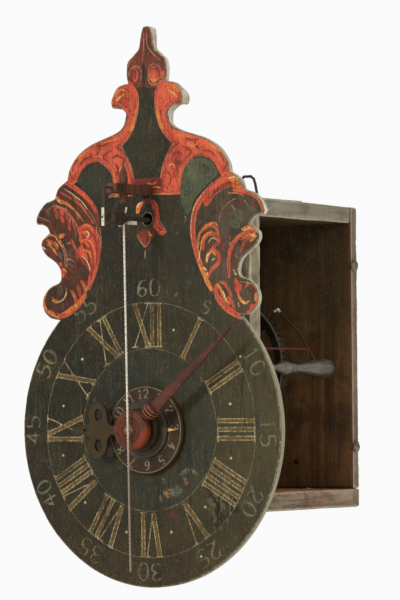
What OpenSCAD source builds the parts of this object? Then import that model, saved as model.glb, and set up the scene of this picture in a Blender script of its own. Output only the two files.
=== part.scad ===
// Wall clock with a wooden movement: painted shield dial, open-sided wooden
// case, wooden wheels, verge escapement with a short pendulum in front of the
// dial, and a small alarm.
// Origin: on the wall plane (back face of the case), straight behind the
// centre arbor.  +X right, -Y towards the viewer, +Z up.  Millimetres.

/* [Shield] */
// Radius of the round dial part of the shield
dial_r = 140; // [136:1:144]
// Thickness of the shield board
shield_t = 12; // [11:0.5:12]
// Diameter of the hole that the verge passes through
verge_hole_d = 11; // [9:0.5:12]
// Points computed along each stretch between two outline points
outline_steps = 5; // [3:1:8]

/* [Case] */
// Outer width of the case
case_w = 203; // [200:1:210]
// Depth from the dial's front face to the wall
depth = 190.5; // [190:0.5:200]
// Height of the case top above the centre arbor
case_top = 202; // [202:1:206]
// Depth of the case bottom below the centre arbor
case_bottom = 73; // [73:1:80]
// Thickness of the front board
front_t = 16; // [16:1:16]
// Thickness of the back board
back_t = 11; // [9:0.5:11]
// Thickness of the top board
top_t = 15; // [15:1:15]
// Thickness of the bottom board
bottom_t = 17; // [14:1:17]
// Thickness of the left side board
side_t = 14; // [10:1:16]

/* [Going train] */
// Height of the great wheel's arbor above the centre arbor
great_z = 57; // [57:1:57]
// Teeth of the great wheel
great_teeth = 72; // [72:1:72]
// Teeth of the hour wheel
hour_teeth = 72; // [72:1:72]
// Teeth of the minute wheel and of the motion wheel that drives it
minute_teeth = 30; // [30:1:30]
// Teeth of the contrate wheel
contrate_teeth = 48; // [48:1:48]
// Teeth of the crown wheel
crown_teeth = 33; // [27:2:35]
// Leaves of each pinion
pinion_leaves = 6; // [6:1:6]

/* [Pendulum] */
// Height of the verge above the centre arbor
verge_z = 186.5; // [186:0.5:187]
// Length of the pendulum rod below the verge
rod_len = 311; // [280:1:320]
// Diameter of the pendulum rod
rod_d = 2.2; // [1.6:0.2:2.6]

/* [Hands] */
// Length of the minute hand from the centre to its point
minute_len = 138; // [120:1:140]
// Angle of the minute hand, clockwise from twelve
minute_angle = 50; // [0:1:359]
// Length of the hour hand from the centre to its point
hour_len = 73; // [60:1:80]
// Radius of the alarm disc
alarm_disc_r = 39; // [34:1:42]

/* [Alarm] */
// Distance of the hammer arbor to the right of the centre
hammer_x = 82; // [82:1:82]
// Height of the hammer arbor above the centre
hammer_z = 54.3; // [54:0.1:55]
// Outer radius of the bell
bell_r = 30; // [24:1:30]

/* [Hidden] */
$fn = 64;

EPS = 0.02;              // slip between glued or driven pieces
hw = case_w / 2;
zi_top = case_top - top_t;
zi_bot = bottom_t - case_bottom;
d_fb = shield_t;                    // depth of the front board's front face
d_fi = shield_t + front_t;          // its inner face
d_bi = depth - back_t;              // inner face of the back board
verge_d = 62;                       // depth of the escape arbor
contrate_z = great_z + 65 + 5.417;  // height of the contrate arbor
contrate_r = 30;                    // pitch radius of the contrate teeth
gw_d0 = 122.5; gw_d1 = 127.5;       // great wheel, front and rear face
mb_d0 = 88; mb_d1 = 97;             // middle bar
rb_d0 = 131; rb_d1 = 141;           // rear bar
bell_x = -8; bell_z = 92; bell_d = 142.5;
detent_x = 78; detent_z = 71.7;
alarm_d = 58;                       // depth of the alarm crown wheel's arbor

PINE_DARK = [0.20, 0.18, 0.13];
PINE_GREY = [0.46, 0.44, 0.38];
BROWN = [0.30, 0.17, 0.09];
WHEEL = [0.55, 0.45, 0.30];
IRON = [0.16, 0.16, 0.16];
RED = [0.55, 0.18, 0.12];
BONE = [0.90, 0.88, 0.82];

// ---- helpers: a point is given by its depth behind the dial's front face ----
module at(x, d, z) { translate([x, d - depth, z]) children(); }
// cylinder along Y from depth d0 to depth d1
module rod_y(x, z, d0, d1, r) {
    translate([x, d0 - depth, z]) rotate([-90, 0, 0]) cylinder(r = r, h = d1 - d0);
}
// cylinder along X
module rod_x(x0, x1, d, z, r) {
    translate([x0, d - depth, z]) rotate([0, 90, 0]) cylinder(r = r, h = x1 - x0);
}
// box between two corners (x, depth, z)
module box(a, b) { translate([a[0], a[1] - depth, a[2]]) cube(b - a); }
// body of revolution about Y; profile points are [radius, depth]
module turn_y(x, z, P) {
    translate([x, -depth, z]) rotate([-90, 0, 0]) rotate_extrude() polygon(P);
}
// flat plate drawn in (x, z), from depth d0 to depth d1
module plate(d0, d1) {
    translate([0, d1 - depth, 0]) rotate([90, 0, 0]) linear_extrude(d1 - d0) children();
}
// round wire from a to b, points are [x, depth, z]
module wire(a, b, r) {
    v = b - a; L = norm(v);
    translate([a[0], a[1] - depth, a[2]])
        rotate([0, acos(v[2] / L), atan2(v[1], v[0])]) cylinder(r = r, h = L, $fn = 24);
}
module poly_wire(P, r) {
    for (i = [0 : len(P) - 2]) wire(P[i], P[i + 1], r);
    for (i = [1 : len(P) - 2]) ball(P[i], 1.06 * r);
}
module ball(a, r) { translate([a[0], a[1] - depth, a[2]]) sphere(r = r, $fn = 24); }

function cr(a, b, c, d, t) = 0.5 * (2 * b + (c - a) * t
    + (2 * a - 5 * b + 4 * c - d) * t * t + (3 * b - a - 3 * c + d) * t * t * t);
function smooth(P, n) = [for (i = [0 : len(P) - 2]) for (j = [0 : n - 1])
    cr(P[max(i - 1, 0)], P[i], P[i + 1], P[min(i + 2, len(P) - 1)], j / n)];
function cat(L) = [for (p = L) for (q = p) q];
function flip(P) = [for (i = [len(P) - 1 : -1 : 0]) [-P[i][0], P[i][1]]];
// toothed outline: widths of a tooth at root, pitch and tip
function teeth(n, rr, rp, rt, wr, wp, wt, ph = 0) = cat([for (i = [0 : n - 1])
    let (a = ph + 360 * i / n, k = 90 / PI)
    [for (q = [[rr, -wr], [rp, -wp], [rt, -wt], [rt, wt], [rp, wp], [rr, wr]])
        q[0] * [cos(a + q[1] / q[0] * k), sin(a + q[1] / q[0] * k)]]]);

// ---- painted shield -----------------------------------------------------
// right half of the crown and the wing, from the finial down, in smooth runs
// that meet at corners
RUNS = [
    [[0, 360], [4, 358.5], [6.8, 349], [8.6, 340], [14.5, 334.5], [20.4, 329],
        [21.8, 321], [21.5, 314], [20.3, 309.5]],
    [[20.3, 309.5], [26, 309], [33, 306], [38.8, 296], [38.5, 290], [36.7, 288]],
    [[36.7, 288], [31, 288.5], [26, 286], [23.1, 283], [23.3, 279.5], [25, 273.5],
        [28.7, 269], [36.8, 265], [50, 261], [64, 256], [77.4, 247.5], [86, 236],
        [89, 226]],
    [[89, 226], [93, 223.5], [99.7, 218.5], [103, 210]],
    [[103, 210], [107, 208.5], [114, 206], [121, 199], [124.5, 191], [123, 187]],
    [[123, 187], [118, 187], [112, 184], [109, 179]],
    [[109, 179], [113, 176.5], [118, 172], [118.3, 166], [113, 158.5],
        [103, 152], [98, 146], [96.5, 138], [99, 133.5], [107, 130.5],
        [114, 125], [117.7, 117], [116, 108], [108.5, 101.5], [97.5, 99.5]]
];
HALF = concat(cat([for (r = RUNS) smooth(r, outline_steps)]), [[97.5, 99.5]]);
module shield_2d() { polygon(concat(HALF, [[90, 60], [-90, 60]], [for (p = flip(HALF)) if (p[0] < -0.01) p])); }
module shield() {
    color(PINE_DARK) difference() {
        union() {
            plate(0, shield_t) shield_2d();
            rod_y(0, 0, 0, shield_t, dial_r);
        }
        rod_y(0, 0, -1, shield_t + 1, 9.58);
        rod_y(0, 187.5, -1, shield_t + 1, verge_hole_d / 2);
        rod_y(0, 212.5, -1, shield_t + 1, 3 + EPS);
        for (p = BACK_PEGS) rod_y(p[0], p[1], shield_t - 8, shield_t + 1, 3.5 + EPS);
    }
}

// ---- case -----------------------------------------------------------------
BACK_PEGS = [[-80, -46], [80, -46], [-80, 172], [80, 172]];
END_PEGS = [[-60, case_top - top_t / 2], [60, case_top - top_t / 2],
    [-60, bottom_t / 2 - case_bottom], [60, bottom_t / 2 - case_bottom],
    [side_t / 2 - hw, 0], [side_t / 2 - hw, 120]];
module end_pegs(g) {
    e = g > 0 ? 1 : 0;
    for (p = END_PEGS) {
        rod_y(p[0], p[1], d_fb - e, d_fi + 18, 3 + g);
        if (p[1] > zi_bot) rod_y(p[0], p[1], d_bi - 18, depth + e, 3 + g);
    }
    // upright pegs: the back board stands on the bottom board
    for (x = [-60, 60]) at(x, d_bi + 5.5, -case_bottom - e) cylinder(r = 2.5 + g, h = bottom_t + 18 + e);
}
module case_front_board() {
    color(PINE_GREY) difference() {
        box([-hw, d_fb, -case_bottom], [hw, d_fi, case_top + 2]);
        rod_y(0, 0, d_fb - 1, d_fi + 1, 9.58);
        rod_y(0, 187.5, d_fb - 1, d_fi + 1, 5);
        rod_y(0, great_z, d_fi - 13, d_fi + 1, 2.06);
        rod_y(hammer_x, hammer_z, d_fi - 13, d_fi + 1, 1.56);
        rod_y(detent_x, detent_z, d_fi - 12, d_fi + 1, 1.16);
        for (p = BACK_PEGS) rod_y(p[0], p[1], d_fb - 1, d_fi + 1, 3.5 + EPS);
        end_pegs(EPS);
    }
}
module case_back_board() {
    color(BROWN) difference() {
        box([-hw, d_bi, zi_bot], [hw, depth, case_top]);
        rod_y(hammer_x, hammer_z, d_bi - 1, d_bi + 7, 1.56);
        rod_y(bell_x, bell_z, d_bi - 1, d_bi + 7, 2.5 + EPS);
        end_pegs(EPS);
    }
}
module case_top_board() {
    color(PINE_GREY) difference() {
        // slopes down a little towards the wall
        translate([-hw, -depth, 0]) rotate([90, 0, 90]) linear_extrude(case_w)
            polygon([[d_fi, zi_top], [d_bi, zi_top], [d_bi, case_top], [d_fi, case_top + 2]]);
        box([-5 - EPS, d_fi - 1, zi_top - 1], [5 + EPS, mb_d1 + EPS, zi_top + 3.5 + EPS]);
        for (s = [-1, 1]) at(12 * s, 162, zi_top + 5) cylinder(r = 1.25 + EPS, h = 20);
        end_pegs(EPS);
    }
}
module case_bottom_board() {
    color(PINE_GREY) difference() {
        box([-hw, d_fi, -case_bottom], [hw, depth, zi_bot]);
        for (s = [-1, 1]) box([14 * s - 5, 101, -case_bottom - 1], [14 * s + 5, 114, zi_bot + 1]);
        for (d = [43, 63]) box([36, d, -case_bottom - 1], [46, d + 10, zi_bot + 1]);
        end_pegs(EPS);
    }
}
module case_left_board() {
    color(PINE_GREY) difference() {
        box([-hw, d_fi, zi_bot], [side_t - hw, d_bi, zi_top]);
        end_pegs(EPS);
    }
}
module case_pegs() {
    color(BROWN) {
        end_pegs(0);
        for (p = BACK_PEGS) rod_y(p[0], p[1], shield_t - 8, d_fi + 2, 3.5);
    }
}
module door_ears() {
    // bored lugs on the edge of the back board
    color(PINE_GREY) for (z = [148.5, -17.5]) difference() {
        rod_x(hw, hw + 3.6, 183, z, 5.2);
        at(hw + 1.9, 183, z - 8) cylinder(r = 0.9, h = 16);
    }
}
module hanging_hoop() {
    z = case_top;
    color(IRON) poly_wire([for (q = [[12, zi_top + 5 - z], [12, 8], [8.6, 25], [7, 29.5],
        [3.6, 32], [-3.6, 32], [-7, 29.5], [-8.6, 25], [-12, 8], [-12, zi_top + 5 - z]])
        [q[0], 162, z + q[1]]], 1.25);
}

// ---- bracket that carries the front end of the verge ----------------------
module gallows_arm() {
    color(BROWN) difference() {
        union() {
            box([-5.5, -54.5, 208.4], [5.5, 0, 216.7]);
            rod_y(0, 212.5, -1, shield_t, 3);
        }
        at(0, -36, 200) cylinder(r = 3.8 + EPS, h = 20);
    }
}
module gallows_peg() {
    color(BROWN) at(0, -36, 0) rotate_extrude() polygon([[0, 199.6], [3, 199.6],
        [3.8, 201], [3.8, 216.7], [3.9, 218], [3.8, 222], [3.2, 226], [2.1, 229.5], [1.2, 232],
        [0.8, 235.5], [0.5, 240], [0, 241.2]]);
}
module gallows_post() {
    // iron strap bent down from the arm's front end
    color(IRON) difference() {
        union() {
            box([-1.7, -66.6, 182], [1.7, -65, 213.6]);
            box([-1.7, -65, 212], [1.7, -54.5, 213.6]);
        }
        rod_y(0, verge_z, -67, -60, 0.96);
    }
}
module verge_front_plate() {
    color(BONE) difference() {
        box([-1.25, -67.5, 178.8], [1.25, -66.6, 194.8]);
        rod_y(0, verge_z, -68, -66, 0.76);
    }
}

// ---- movement frame ---------------------------------------------------------
module middle_bar() {
    color(WHEEL) difference() {
        union() {
            box([-18, mb_d0, zi_bot], [14, mb_d1, zi_top]);
            box([-5, mb_d0, zi_top - 1], [5, mb_d1, zi_top + 3.5]);
        }
        rod_y(0, 0, mb_d0 - 1, mb_d1 + 1, 2.56);
        rod_y(0, great_z, mb_d0 - 1, mb_d1 + 1, 5.06);
        rod_y(0, contrate_z, mb_d0 - 1, mb_d1 + 1, 3.06);
        rod_y(0, verge_z, mb_d0 - 1, mb_d1 + 1, 0.86);
    }
}
module rear_bar() {
    color(WHEEL) difference() {
        box([-16, rb_d0, zi_bot], [12, rb_d1, zi_top]);
        rod_y(0, great_z, rb_d0 - 1, rb_d1 + 1, 2.26);
        rod_y(0, contrate_z, rb_d0 - 1, rb_d1 + 1, 2.06);
    }
}
module crown_bridge() {
    color(IRON) difference() {
        union() {
            for (s = [-1, 1]) box([13 * s - 2, verge_d - 4, 175], [13 * s + 2, verge_d + 4, zi_top]);
            box([-15, verge_d - 4, 175], [15, verge_d + 4, 178]);
        }
        at(0, verge_d, 174) cylinder(r = 0.9, h = 6);
    }
}
module potence() {
    color(WHEEL) difference() {
        box([-9, d_fi, 117], [9, 66, 147]);
        rod_y(0, contrate_z, 50, 67, 2.06);
        at(0, verge_d, 140) cylinder(r = 0.9, h = 8);
    }
}
module bell() {
    r = bell_r; d = bell_d;
    out = smooth([[r, d], [r - 0.6, d + 3], [r - 3, d + 8], [r - 7.5, d + 14.5],
        [r - 15, d + 20.5], [9, d + 23.8], [2.5 + EPS, d + 24.5]], 4);
    inn = [for (i = [len(out) - 1 : -1 : 0]) [max(out[i][0] - 1.8, 2.5 + EPS), max(out[i][1] - 1.9, d)]];
    color([0.62, 0.50, 0.28]) turn_y(bell_x, bell_z, concat(out, [[2.5 + EPS, d + 24.5]], inn));
}
module bell_post() {
    d = bell_d + 22.6;
    color(IRON) turn_y(bell_x, bell_z, [[0, d - 5], [4, d - 5], [4.6, d - 2.5], [4, d - 0.5], [2.5, d - 0.5],
        [2.5, d + 1.9], [5, d + 1.9], [5, d + 4], [3.4, d + 5.5], [3.4, d_bi], [2.5, d_bi], [2.5, d_bi + 6], [0, d_bi + 6]]);
}
module alarm_posts() {
    color(WHEEL) difference() {
        for (x = [26, 50]) box([x, alarm_d - 5, zi_bot], [x + 6, alarm_d + 5, hammer_z + 9]);
        rod_x(20, 60, alarm_d, hammer_z, 2.56);
    }
}

// ---- minute hand, centre arbor ------------------------------------------
module centre_arbor() {
    color(IRON) turn_y(0, 0, [[0, -34.4], [1.6, -34.2], [3, -33.2], [3.8, -31.6], [3.8, -31],
        [2.5, -31], [2.5, mb_d1 - 0.5], [0, mb_d1 - 0.5]]);
}
module wheel_30(ph) { polygon(teeth(minute_teeth, 26.7, 28.5, 29.9, 1.65, 1.35, 0.75, ph)); }
module spoked(r_in, hub, w, n = 4, ph = 45) {
    // openings between the spokes
    difference() {
        circle(r = r_in);
        circle(r = hub);
        for (i = [0 : n / 2 - 1]) rotate(ph + 180 * i / (n / 2)) square([2 * r_in + 2, w], center = true);
    }
}
module minute_wheel() {
    color(WHEEL) difference() {
        union() {
            plate(44, 49) wheel_30(0);
            rod_y(0, 0, 42, 52, 7.5);
        }
        rod_y(0, 0, 41, 53, 2.5 + EPS);
    }
}
module minute_hub() {
    color(RED) difference() {
        turn_y(0, 0, [[2.5 + EPS, -31], [6.5, -31], [7, -30.4], [7.6, -30.4], [8.1, -31], [10.2, -31],
            [10.7, -30.3], [11.4, -30.3], [12, -30.8], [15.2, -30.4], [17, -29.4], [17.9, -27.6],
            [18, -25.5], [17.6, -22.4], [16.6, -20.8], [2.5 + EPS, -20.8]]);
        at(0, -26, 0) rotate([0, minute_angle, 0]) translate([0, 0, 11]) cylinder(r = 2.6 + EPS, h = 10);
    }
}
module minute_hand() {
    color(RED) at(0, -26, 0) rotate([0, minute_angle, 0]) {
        translate([0, 0, 11.2]) cylinder(r = 2.6, h = 9);
        // turned neck with beads
        rotate_extrude() polygon([[0, 18.6], [4.4, 18.6], [5.6, 19.6], [5.6, 20.8], [4.8, 21.6],
            [6.6, 22.4], [6.8, 23.6], [5.6, 24.6], [7, 25.4], [7.2, 26.8], [5.8, 27.8],
            [6.8, 28.6], [6.8, 29.8], [5, 31], [0, 31]]);
        translate([0, 2.2, 0]) rotate([90, 0, 0]) linear_extrude(4.4)
            polygon([[-5.6, 30], [5.6, 30], [5.2, 44], [3.9, 80], [2.6, 115],
                [0.4, minute_len], [-0.4, minute_len], [-2.6, 115], [-3.9, 80], [-5.2, 44]]);
    }
}

// ---- hour hand --------------------------------------------------------------
module hour_wheel() {
    color(WHEEL) difference() {
        union() {
            plate(32.3, 37) difference() {
                polygon(teeth(hour_teeth, 50.9, 52.615, 53.8, 1.25, 1.0, 0.55));
                spoked(43, 13, 8);
            }
            rod_y(0, 0, 32, 40, 12);
        }
        rod_y(0, 0, 31, 42, 6.5 + EPS);
    }
}
module hour_tube() {
    color(WHEEL) difference() {
        rod_y(0, 0, -18, 41, 6.5);
        rod_y(0, 0, -19, 42, 2.56);
    }
}
module hour_collar() {
    color(PINE_DARK) difference() {
        turn_y(0, 0, [[0, -18], [13, -18], [17.4, -17.2], [19.2, -15.6], [19.5, -13.5],
            [19, -11.4], [17.8, -10.3], [0, -10.3]]);
        rod_y(0, 0, -19, -9, 6.5 + EPS);
    }
}
function oval(c, a, b, n = 28) = [for (i = [0 : n - 1]) c + [a * cos(360 * i / n), b * sin(360 * i / n)]];
// upper edge of the pierced hand from the collar to the point
HAND = [
    [[-16, 4.4], [-24, 4.1], [-31, 3.8]],
    [[-31, 3.8], [-34.6, 7], [-35.6, 12], [-36.8, 18], [-41, 22.8], [-47, 23.8], [-53, 20.4], [-55.6, 14], [-54, 8],
        [-53, 6.4]],
    [[-53, 6.4], [-57, 5.8], [-61, 4.6], [3 - hour_len, 1.8], [-hour_len, 0.4]]
];
module hour_hand_2d() {
    edge = concat(cat([for (r = HAND) smooth(r, 4)]), [[-hour_len, 0.4]]);
    difference() {
        polygon(concat(edge, [for (i = [len(edge) - 1 : -1 : 0]) [edge[i][0], -edge[i][1]]]));
        for (s = [-1, 1]) polygon(oval([-45, 13.6 * s], 4, 5.6));
        polygon(oval([-58, 0], 3.6, 1.5));
    }
}
module hour_hand() {
    color(PINE_DARK) difference() {
        plate(-15, -12) hour_hand_2d();
        rod_y(0, 0, -16, -11, 19.5 + EPS);
    }
}

// ---- alarm disc ---------------------------------------------------------------
module alarm_disc() {
    color(PINE_DARK) difference() {
        turn_y(0, 0, [[9.5 + EPS, -6], [alarm_disc_r - 0.9, -6], [alarm_disc_r, -5.2],
            [alarm_disc_r, -1.8], [alarm_disc_r - 0.8, -1], [9.5 + EPS, -1]]);
    }
}
module alarm_inner_disc() {
    color(PINE_GREY) turn_y(0, 0, [[9.5 + EPS, -9.5], [23.6, -9.5], [25, -8.6], [25.2, -7],
        [24.8, -6], [9.5 + EPS, -6]]);
}
module alarm_pointer() {
    color([0.65, 0.50, 0.25]) plate(-6.9, -6)
        polygon([[25.3, 1.6], [28, 1.1], [33.5, 0.2], [33.5, -0.2], [28, -1.1], [25.3, -1.6]]);
}
module alarm_cam() {
    color(WHEEL) difference() {
        union() {
            rod_y(0, 0, -9.5, 31.2, 9.5);
            rod_y(0, 0, 29, 31.2, 14);
            rod_y(-15.5, 0, 29, 31.2, 2.5);
        }
        rod_y(0, 0, -11, 33, 6.58);
    }
}

// ---- great wheel ---------------------------------------------------------------
module great_arbor() {
    color(WHEEL) turn_y(0, great_z, [[0, 16], [2, 16], [2, d_fi + 0.4], [2.2, d_fi + 0.4], [2.2, 39.5],
        [5, 39.5], [5, 130], [2.2, 130.4], [2.2, rb_d1 - 0.5], [0, rb_d1 - 0.5]]);
}
module great_wheel() {
    color(WHEEL) difference() {
        union() {
            at(0, 0, great_z) plate(gw_d0 + depth, gw_d1 + depth) difference() {
                polygon(teeth(great_teeth, 63.2, 65, 66.5, 1.5, 1.25, 0.65, 0));
                spoked(54.5, 12, 9);
            }
            rod_y(0, great_z, gw_d0 - 1, gw_d1 + 1.5, 12.5);
            // pivot stud of the click, on a spoke
            rod_y(CLICK[0], great_z + CLICK[1], gw_d0 - 3.6, gw_d0 + 1, 3);
            rod_y(CLICK[0], great_z + CLICK[1], gw_d0 - 7.6, gw_d0 + 1, 1.5);
        }
        rod_y(0, great_z, gw_d0 - 2, gw_d1 + 2, 5 + EPS);
    }
}
CLICK = 22.5 * [cos(45), sin(45)];
module motion_pinion() {
    color(WHEEL) difference() {
        at(0, 0, great_z) plate(31 + depth, 39.3 + depth)
            polygon(teeth(pinion_leaves, 2.9, 4.385, 5.4, 0.85, 0.75, 0.45, 0));
        rod_y(0, great_z, 30, 40, 2.2 + EPS);
    }
}
module motion_wheel() {
    color(WHEEL) difference() {
        union() {
            at(0, 0, great_z) plate(44 + depth, 49 + depth) wheel_30(6);
            rod_y(0, great_z, 42, 52, 9);
        }
        rod_y(0, great_z, 41, 53, 5 + EPS);
    }
}
module rope_pulley() {
    color(WHEEL) turn_y(0, great_z, [[5.06, 99], [8, 99], [8, 100], [20, 100], [20, 102], [14, 106],
        [14, 108.5], [20, 112.5], [20, 114.5], [8, 114.5], [8, 114.8], [5.06, 114.8]]);
}
module ratchet_wheel() {
    n = 24;
    color(WHEEL) difference() {
        at(0, 0, great_z) plate(115.2 + depth, 118 + depth) polygon(cat([for (i = [0 : n - 1])
            [16 * [cos(360 * i / n), sin(360 * i / n)], 13.6 * [cos(360 * i / n + 2), sin(360 * i / n + 2)]]]));
        rod_y(0, great_z, 114, 120, 5.06);
    }
}
module ratchet_click() {
    color(IRON) at(0, 0, great_z) difference() {
        plate(115.2 + depth, 118 + depth) union() {
            translate(CLICK) circle(r = 3.6);
            polygon([[12.5, 14.6], [15.1, 9], [15.85, 4.14], [14.11, 0.73], [16.47, 0.27], [17.8, 4],
                [18.9, 9], [19.4, 15.2]]);
        }
        rod_y(CLICK[0], CLICK[1], 114 + depth, 119 + depth, 1.56);
    }
}

// ---- contrate wheel -----------------------------------------------------------
CT0 = 64.8; CT1 = 67; CT2 = 71;   // tooth tips, web front, web back
module contrate_wheel() {
    color(WHEEL) difference() {
        union() {
            at(0, 0, contrate_z) plate(CT1 + depth, CT2 + depth) difference() {
                circle(r = contrate_r + 3);
                spoked(contrate_r - 5, 9, 7);
            }
            rod_y(0, contrate_z, 66.6, 75, 9.5);
            at(0, 0, contrate_z) for (i = [0 : contrate_teeth - 1]) rotate([0, 360 * i / contrate_teeth, 0])
                translate([0, 0, contrate_r - 3]) linear_extrude(6)
                    polygon([[-1.1, CT1 + 0.5], [-0.75, CT0 + 0.95], [-0.4, CT0], [0.4, CT0],
                        [0.75, CT0 + 0.95], [1.1, CT1 + 0.5]]);
        }
        rod_y(0, contrate_z, 60, 80, 3 + EPS);
    }
}
module contrate_arbor() {
    color(WHEEL) turn_y(0, contrate_z, [[0, 50.5], [2, 50.5], [2, 66.3], [3, 66.3], [3, 119], [3, 121.7],
        [2.4, 121.7], [2.4, 128.3], [3, 128.3], [3, 130.5], [2, 130.6], [2, rb_d1 - 0.5], [0, rb_d1 - 0.5]]);
}
module contrate_pinion() {
    // lantern pinion: two end discs and round pins
    color(WHEEL) {
        for (d = [[119, 121.7], [128.3, 130.5]]) difference() {
            rod_y(0, contrate_z, d[0], d[1], 7.3);
            rod_y(0, contrate_z, d[0] - 1, d[1] + 1, 3 + EPS);
            for (i = [0 : pinion_leaves - 1]) rod_y(5.417 * cos(60 * i), contrate_z + 5.417 * sin(60 * i),
                d[0] - 1, d[1] + 1, 1 + EPS);
        }
        for (i = [0 : pinion_leaves - 1]) rod_y(5.417 * cos(60 * i), contrate_z + 5.417 * sin(60 * i),
            119.2, 130.3, 1);
    }
}

// ---- escape arbor ---------------------------------------------------------------
module crown_wheel() {
    n = crown_teeth;
    color(WHEEL) at(0, verge_d, 0) difference() {
        union() {
            translate([0, 0, 168]) cylinder(r = 21, h = 3.5);
            translate([0, 0, 165]) cylinder(r = 6, h = 4);
            translate([0, 0, 168]) difference() {
                cylinder(r = 22, h = 15.1);
                translate([0, 0, -1]) cylinder(r = 19.5, h = 18);
            }
        }
        for (i = [0 : n - 1]) rotate(360 * (i + 0.5) / n) translate([17, 0, 177])
            rotate([90, 0, 90]) linear_extrude(6)
                polygon([[-0.79, 0], [0.79, 0], [2.77, 7.5], [-1.04, 7.5]]);
        translate([0, 0, 160]) cylinder(r = 1.6 + EPS, h = 20);
    }
}
module escape_arbor() {
    color(IRON) at(0, verge_d, 0) rotate_extrude() polygon([[0, 140.5], [0.84, 140.5], [0.84, 147.3],
        [1.6, 147.3], [1.6, 174.6], [0.84, 174.6], [0.84, 178.6], [0, 178.6]]);
}
module escape_pinion() {
    color(WHEEL) at(0, verge_d, 0) difference() {
        translate([0, 0, 152]) linear_extrude(10)
            polygon(teeth(pinion_leaves, 2.5, 3.75, 4.45, 0.65, 0.6, 0.4, 0));
        translate([0, 0, 150]) cylinder(r = 1.6 + EPS, h = 14);
    }
}

// ---- verge and pendulum ------------------------------------------------------
module verge_arbor() {
    color(IRON) difference() {
        turn_y(0, verge_z, [[0, -69], [0.7, -69], [0.7, -66.4], [0.9, -66.2], [0.9, -64.7],
            [2.2, -64.6], [2.2, 30], [1.3, 31], [1.3, mb_d0 - 0.5], [0.8, mb_d0 - 0.5],
            [0.8, mb_d1 - 0.5], [0, mb_d1 - 0.5]]);
        at(0, -33.8, verge_z - 5) cylinder(r = 0.7 + EPS, h = 10);
    }
}
module verge_spool() {
    color(BROWN) turn_y(0, verge_z, [[2.2 + EPS, -59.4], [5, -59.4], [6.2, -57.6], [6.4, -55], [5.8, -52.6],
        [5.5, -48], [5.8, -44.6], [6.5, -42.4], [6.4, -40.2], [5.2, -38.6], [2.2 + EPS, -38.6]]);
}
module verge_pallets() {
    color(IRON) for (q = [[-1, 41.25], [1, 82.75]]) difference() {
        at(0, q[1], verge_z) union() {
            translate([0, 1.5, 0]) rotate([90, 0, 0]) cylinder(r = 2, h = 3);
            rotate([0, 135 * q[0], 0]) translate([-0.5, -1.5, 0]) cube([1, 3, 3.3]);
        }
        rod_y(0, verge_z, q[1] - 3, q[1] + 3, 1.3 + EPS);
    }
}
module verge_strip() {
    color(BONE) difference() {
        box([-1.2, -29, verge_z - 5], [1.2, -17.5, verge_z - 1.8]);
        rod_y(0, verge_z, -31, -15, 2.2 + EPS);
    }
}
module rod_clip() {
    color(BONE) poly_wire([for (q = [[1.6, 9.8], [0, 3.6], [0, -4], [-2.2, -5], [-5.4, -6.6], [-7.4, -5]])
        [q[0], -33.8, verge_z + q[1]]], 0.7);
}
module pendulum_rod() {
    color([0.72, 0.68, 0.60]) difference() {
        at(0, -36, verge_z) rotate([0, -0.55, 0]) translate([0, 0, -rod_len]) cylinder(r = rod_d / 2, h = rod_len - 2);
        rod_y(0, verge_z, -60, 0, 2.2 + EPS);
    }
}

// ---- alarm ---------------------------------------------------------------------
module hammer_arbor() {
    P = smooth([[2.6, 30], [2.6, 76], [2.9, 80], [3.4, 84], [4.7, 88], [6.2, 92], [6.7, 96], [6, 100],
        [4.6, 103]], 3);
    Q = smooth([[4.4, 106.4], [4.7, 109], [4.3, 113], [4.5, 119], [5.2, 128], [6.4, 138], [7.6, 148],
        [8.5, 158], [8.7, 163.5], [7.9, 167.4], [5.6, 169.6], [3, 170.4]], 3);
    color(WHEEL) difference() {
        turn_y(hammer_x, hammer_z, concat([[0, 16], [1.5, 16], [1.5, 28.4], [2.6, 28.4]], P,
            [[4.6, 103], [5.3, 103.6], [5.3, 105.6]], Q,
            [[3, 170.6], [1.5, 170.8], [1.5, d_bi + 6], [0, d_bi + 6]]));
        at(hammer_x, 144, hammer_z + 3) cylinder(r = 1.1 + EPS, h = 10);
    }
}
module hammer_wire() {
    color(IRON) poly_wire([for (q = [[0, 3.4], [0, 9.5], [-8.6, 23], [-15.2, 32.6], [-21.8, 38.4],
        [-29.2, 45.6], [-35.4, 51.8]]) [hammer_x + q[0], 144, hammer_z + q[1]]], 1.1);
}
module hammer_tip() {
    a = [hammer_x - 35.4, 144, hammer_z + 51.8];
    b = [hammer_x - 38, 144, hammer_z + 54.4];
    c = [hammer_x - 42, 144, hammer_z + 52.7];
    color(BONE) {
        wire(a, b, 1.2);
        ball(b, 1.4);
        wire(b, c, 1.15);
    }
}
module hammer_pallets() {
    color(IRON) for (q = [[-1, 43.25], [1, 72.75]]) difference() {
        at(hammer_x, q[1], hammer_z) union() {
            translate([0, 1.5, 0]) rotate([90, 0, 0]) cylinder(r = 3.4, h = 3);
            rotate([0, -90 + 45 * q[0], 0]) translate([-0.6, -1.5, 0]) cube([1.2, 3, 4.8]);
        }
        rod_y(hammer_x, hammer_z, q[1] - 3, q[1] + 3, 2.6 + EPS);
    }
}
module alarm_detent() {
    color(IRON) {
        rod_y(detent_x, detent_z, 17, 141, 1.1);
        ball([detent_x, 141, detent_z], 1.3);
        wire([detent_x, 141, detent_z], [detent_x, 141, detent_z - 6], 1);
        wire([detent_x, 30, detent_z], [13.8, 30, 13.8], 0.9);
    }
}
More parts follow.
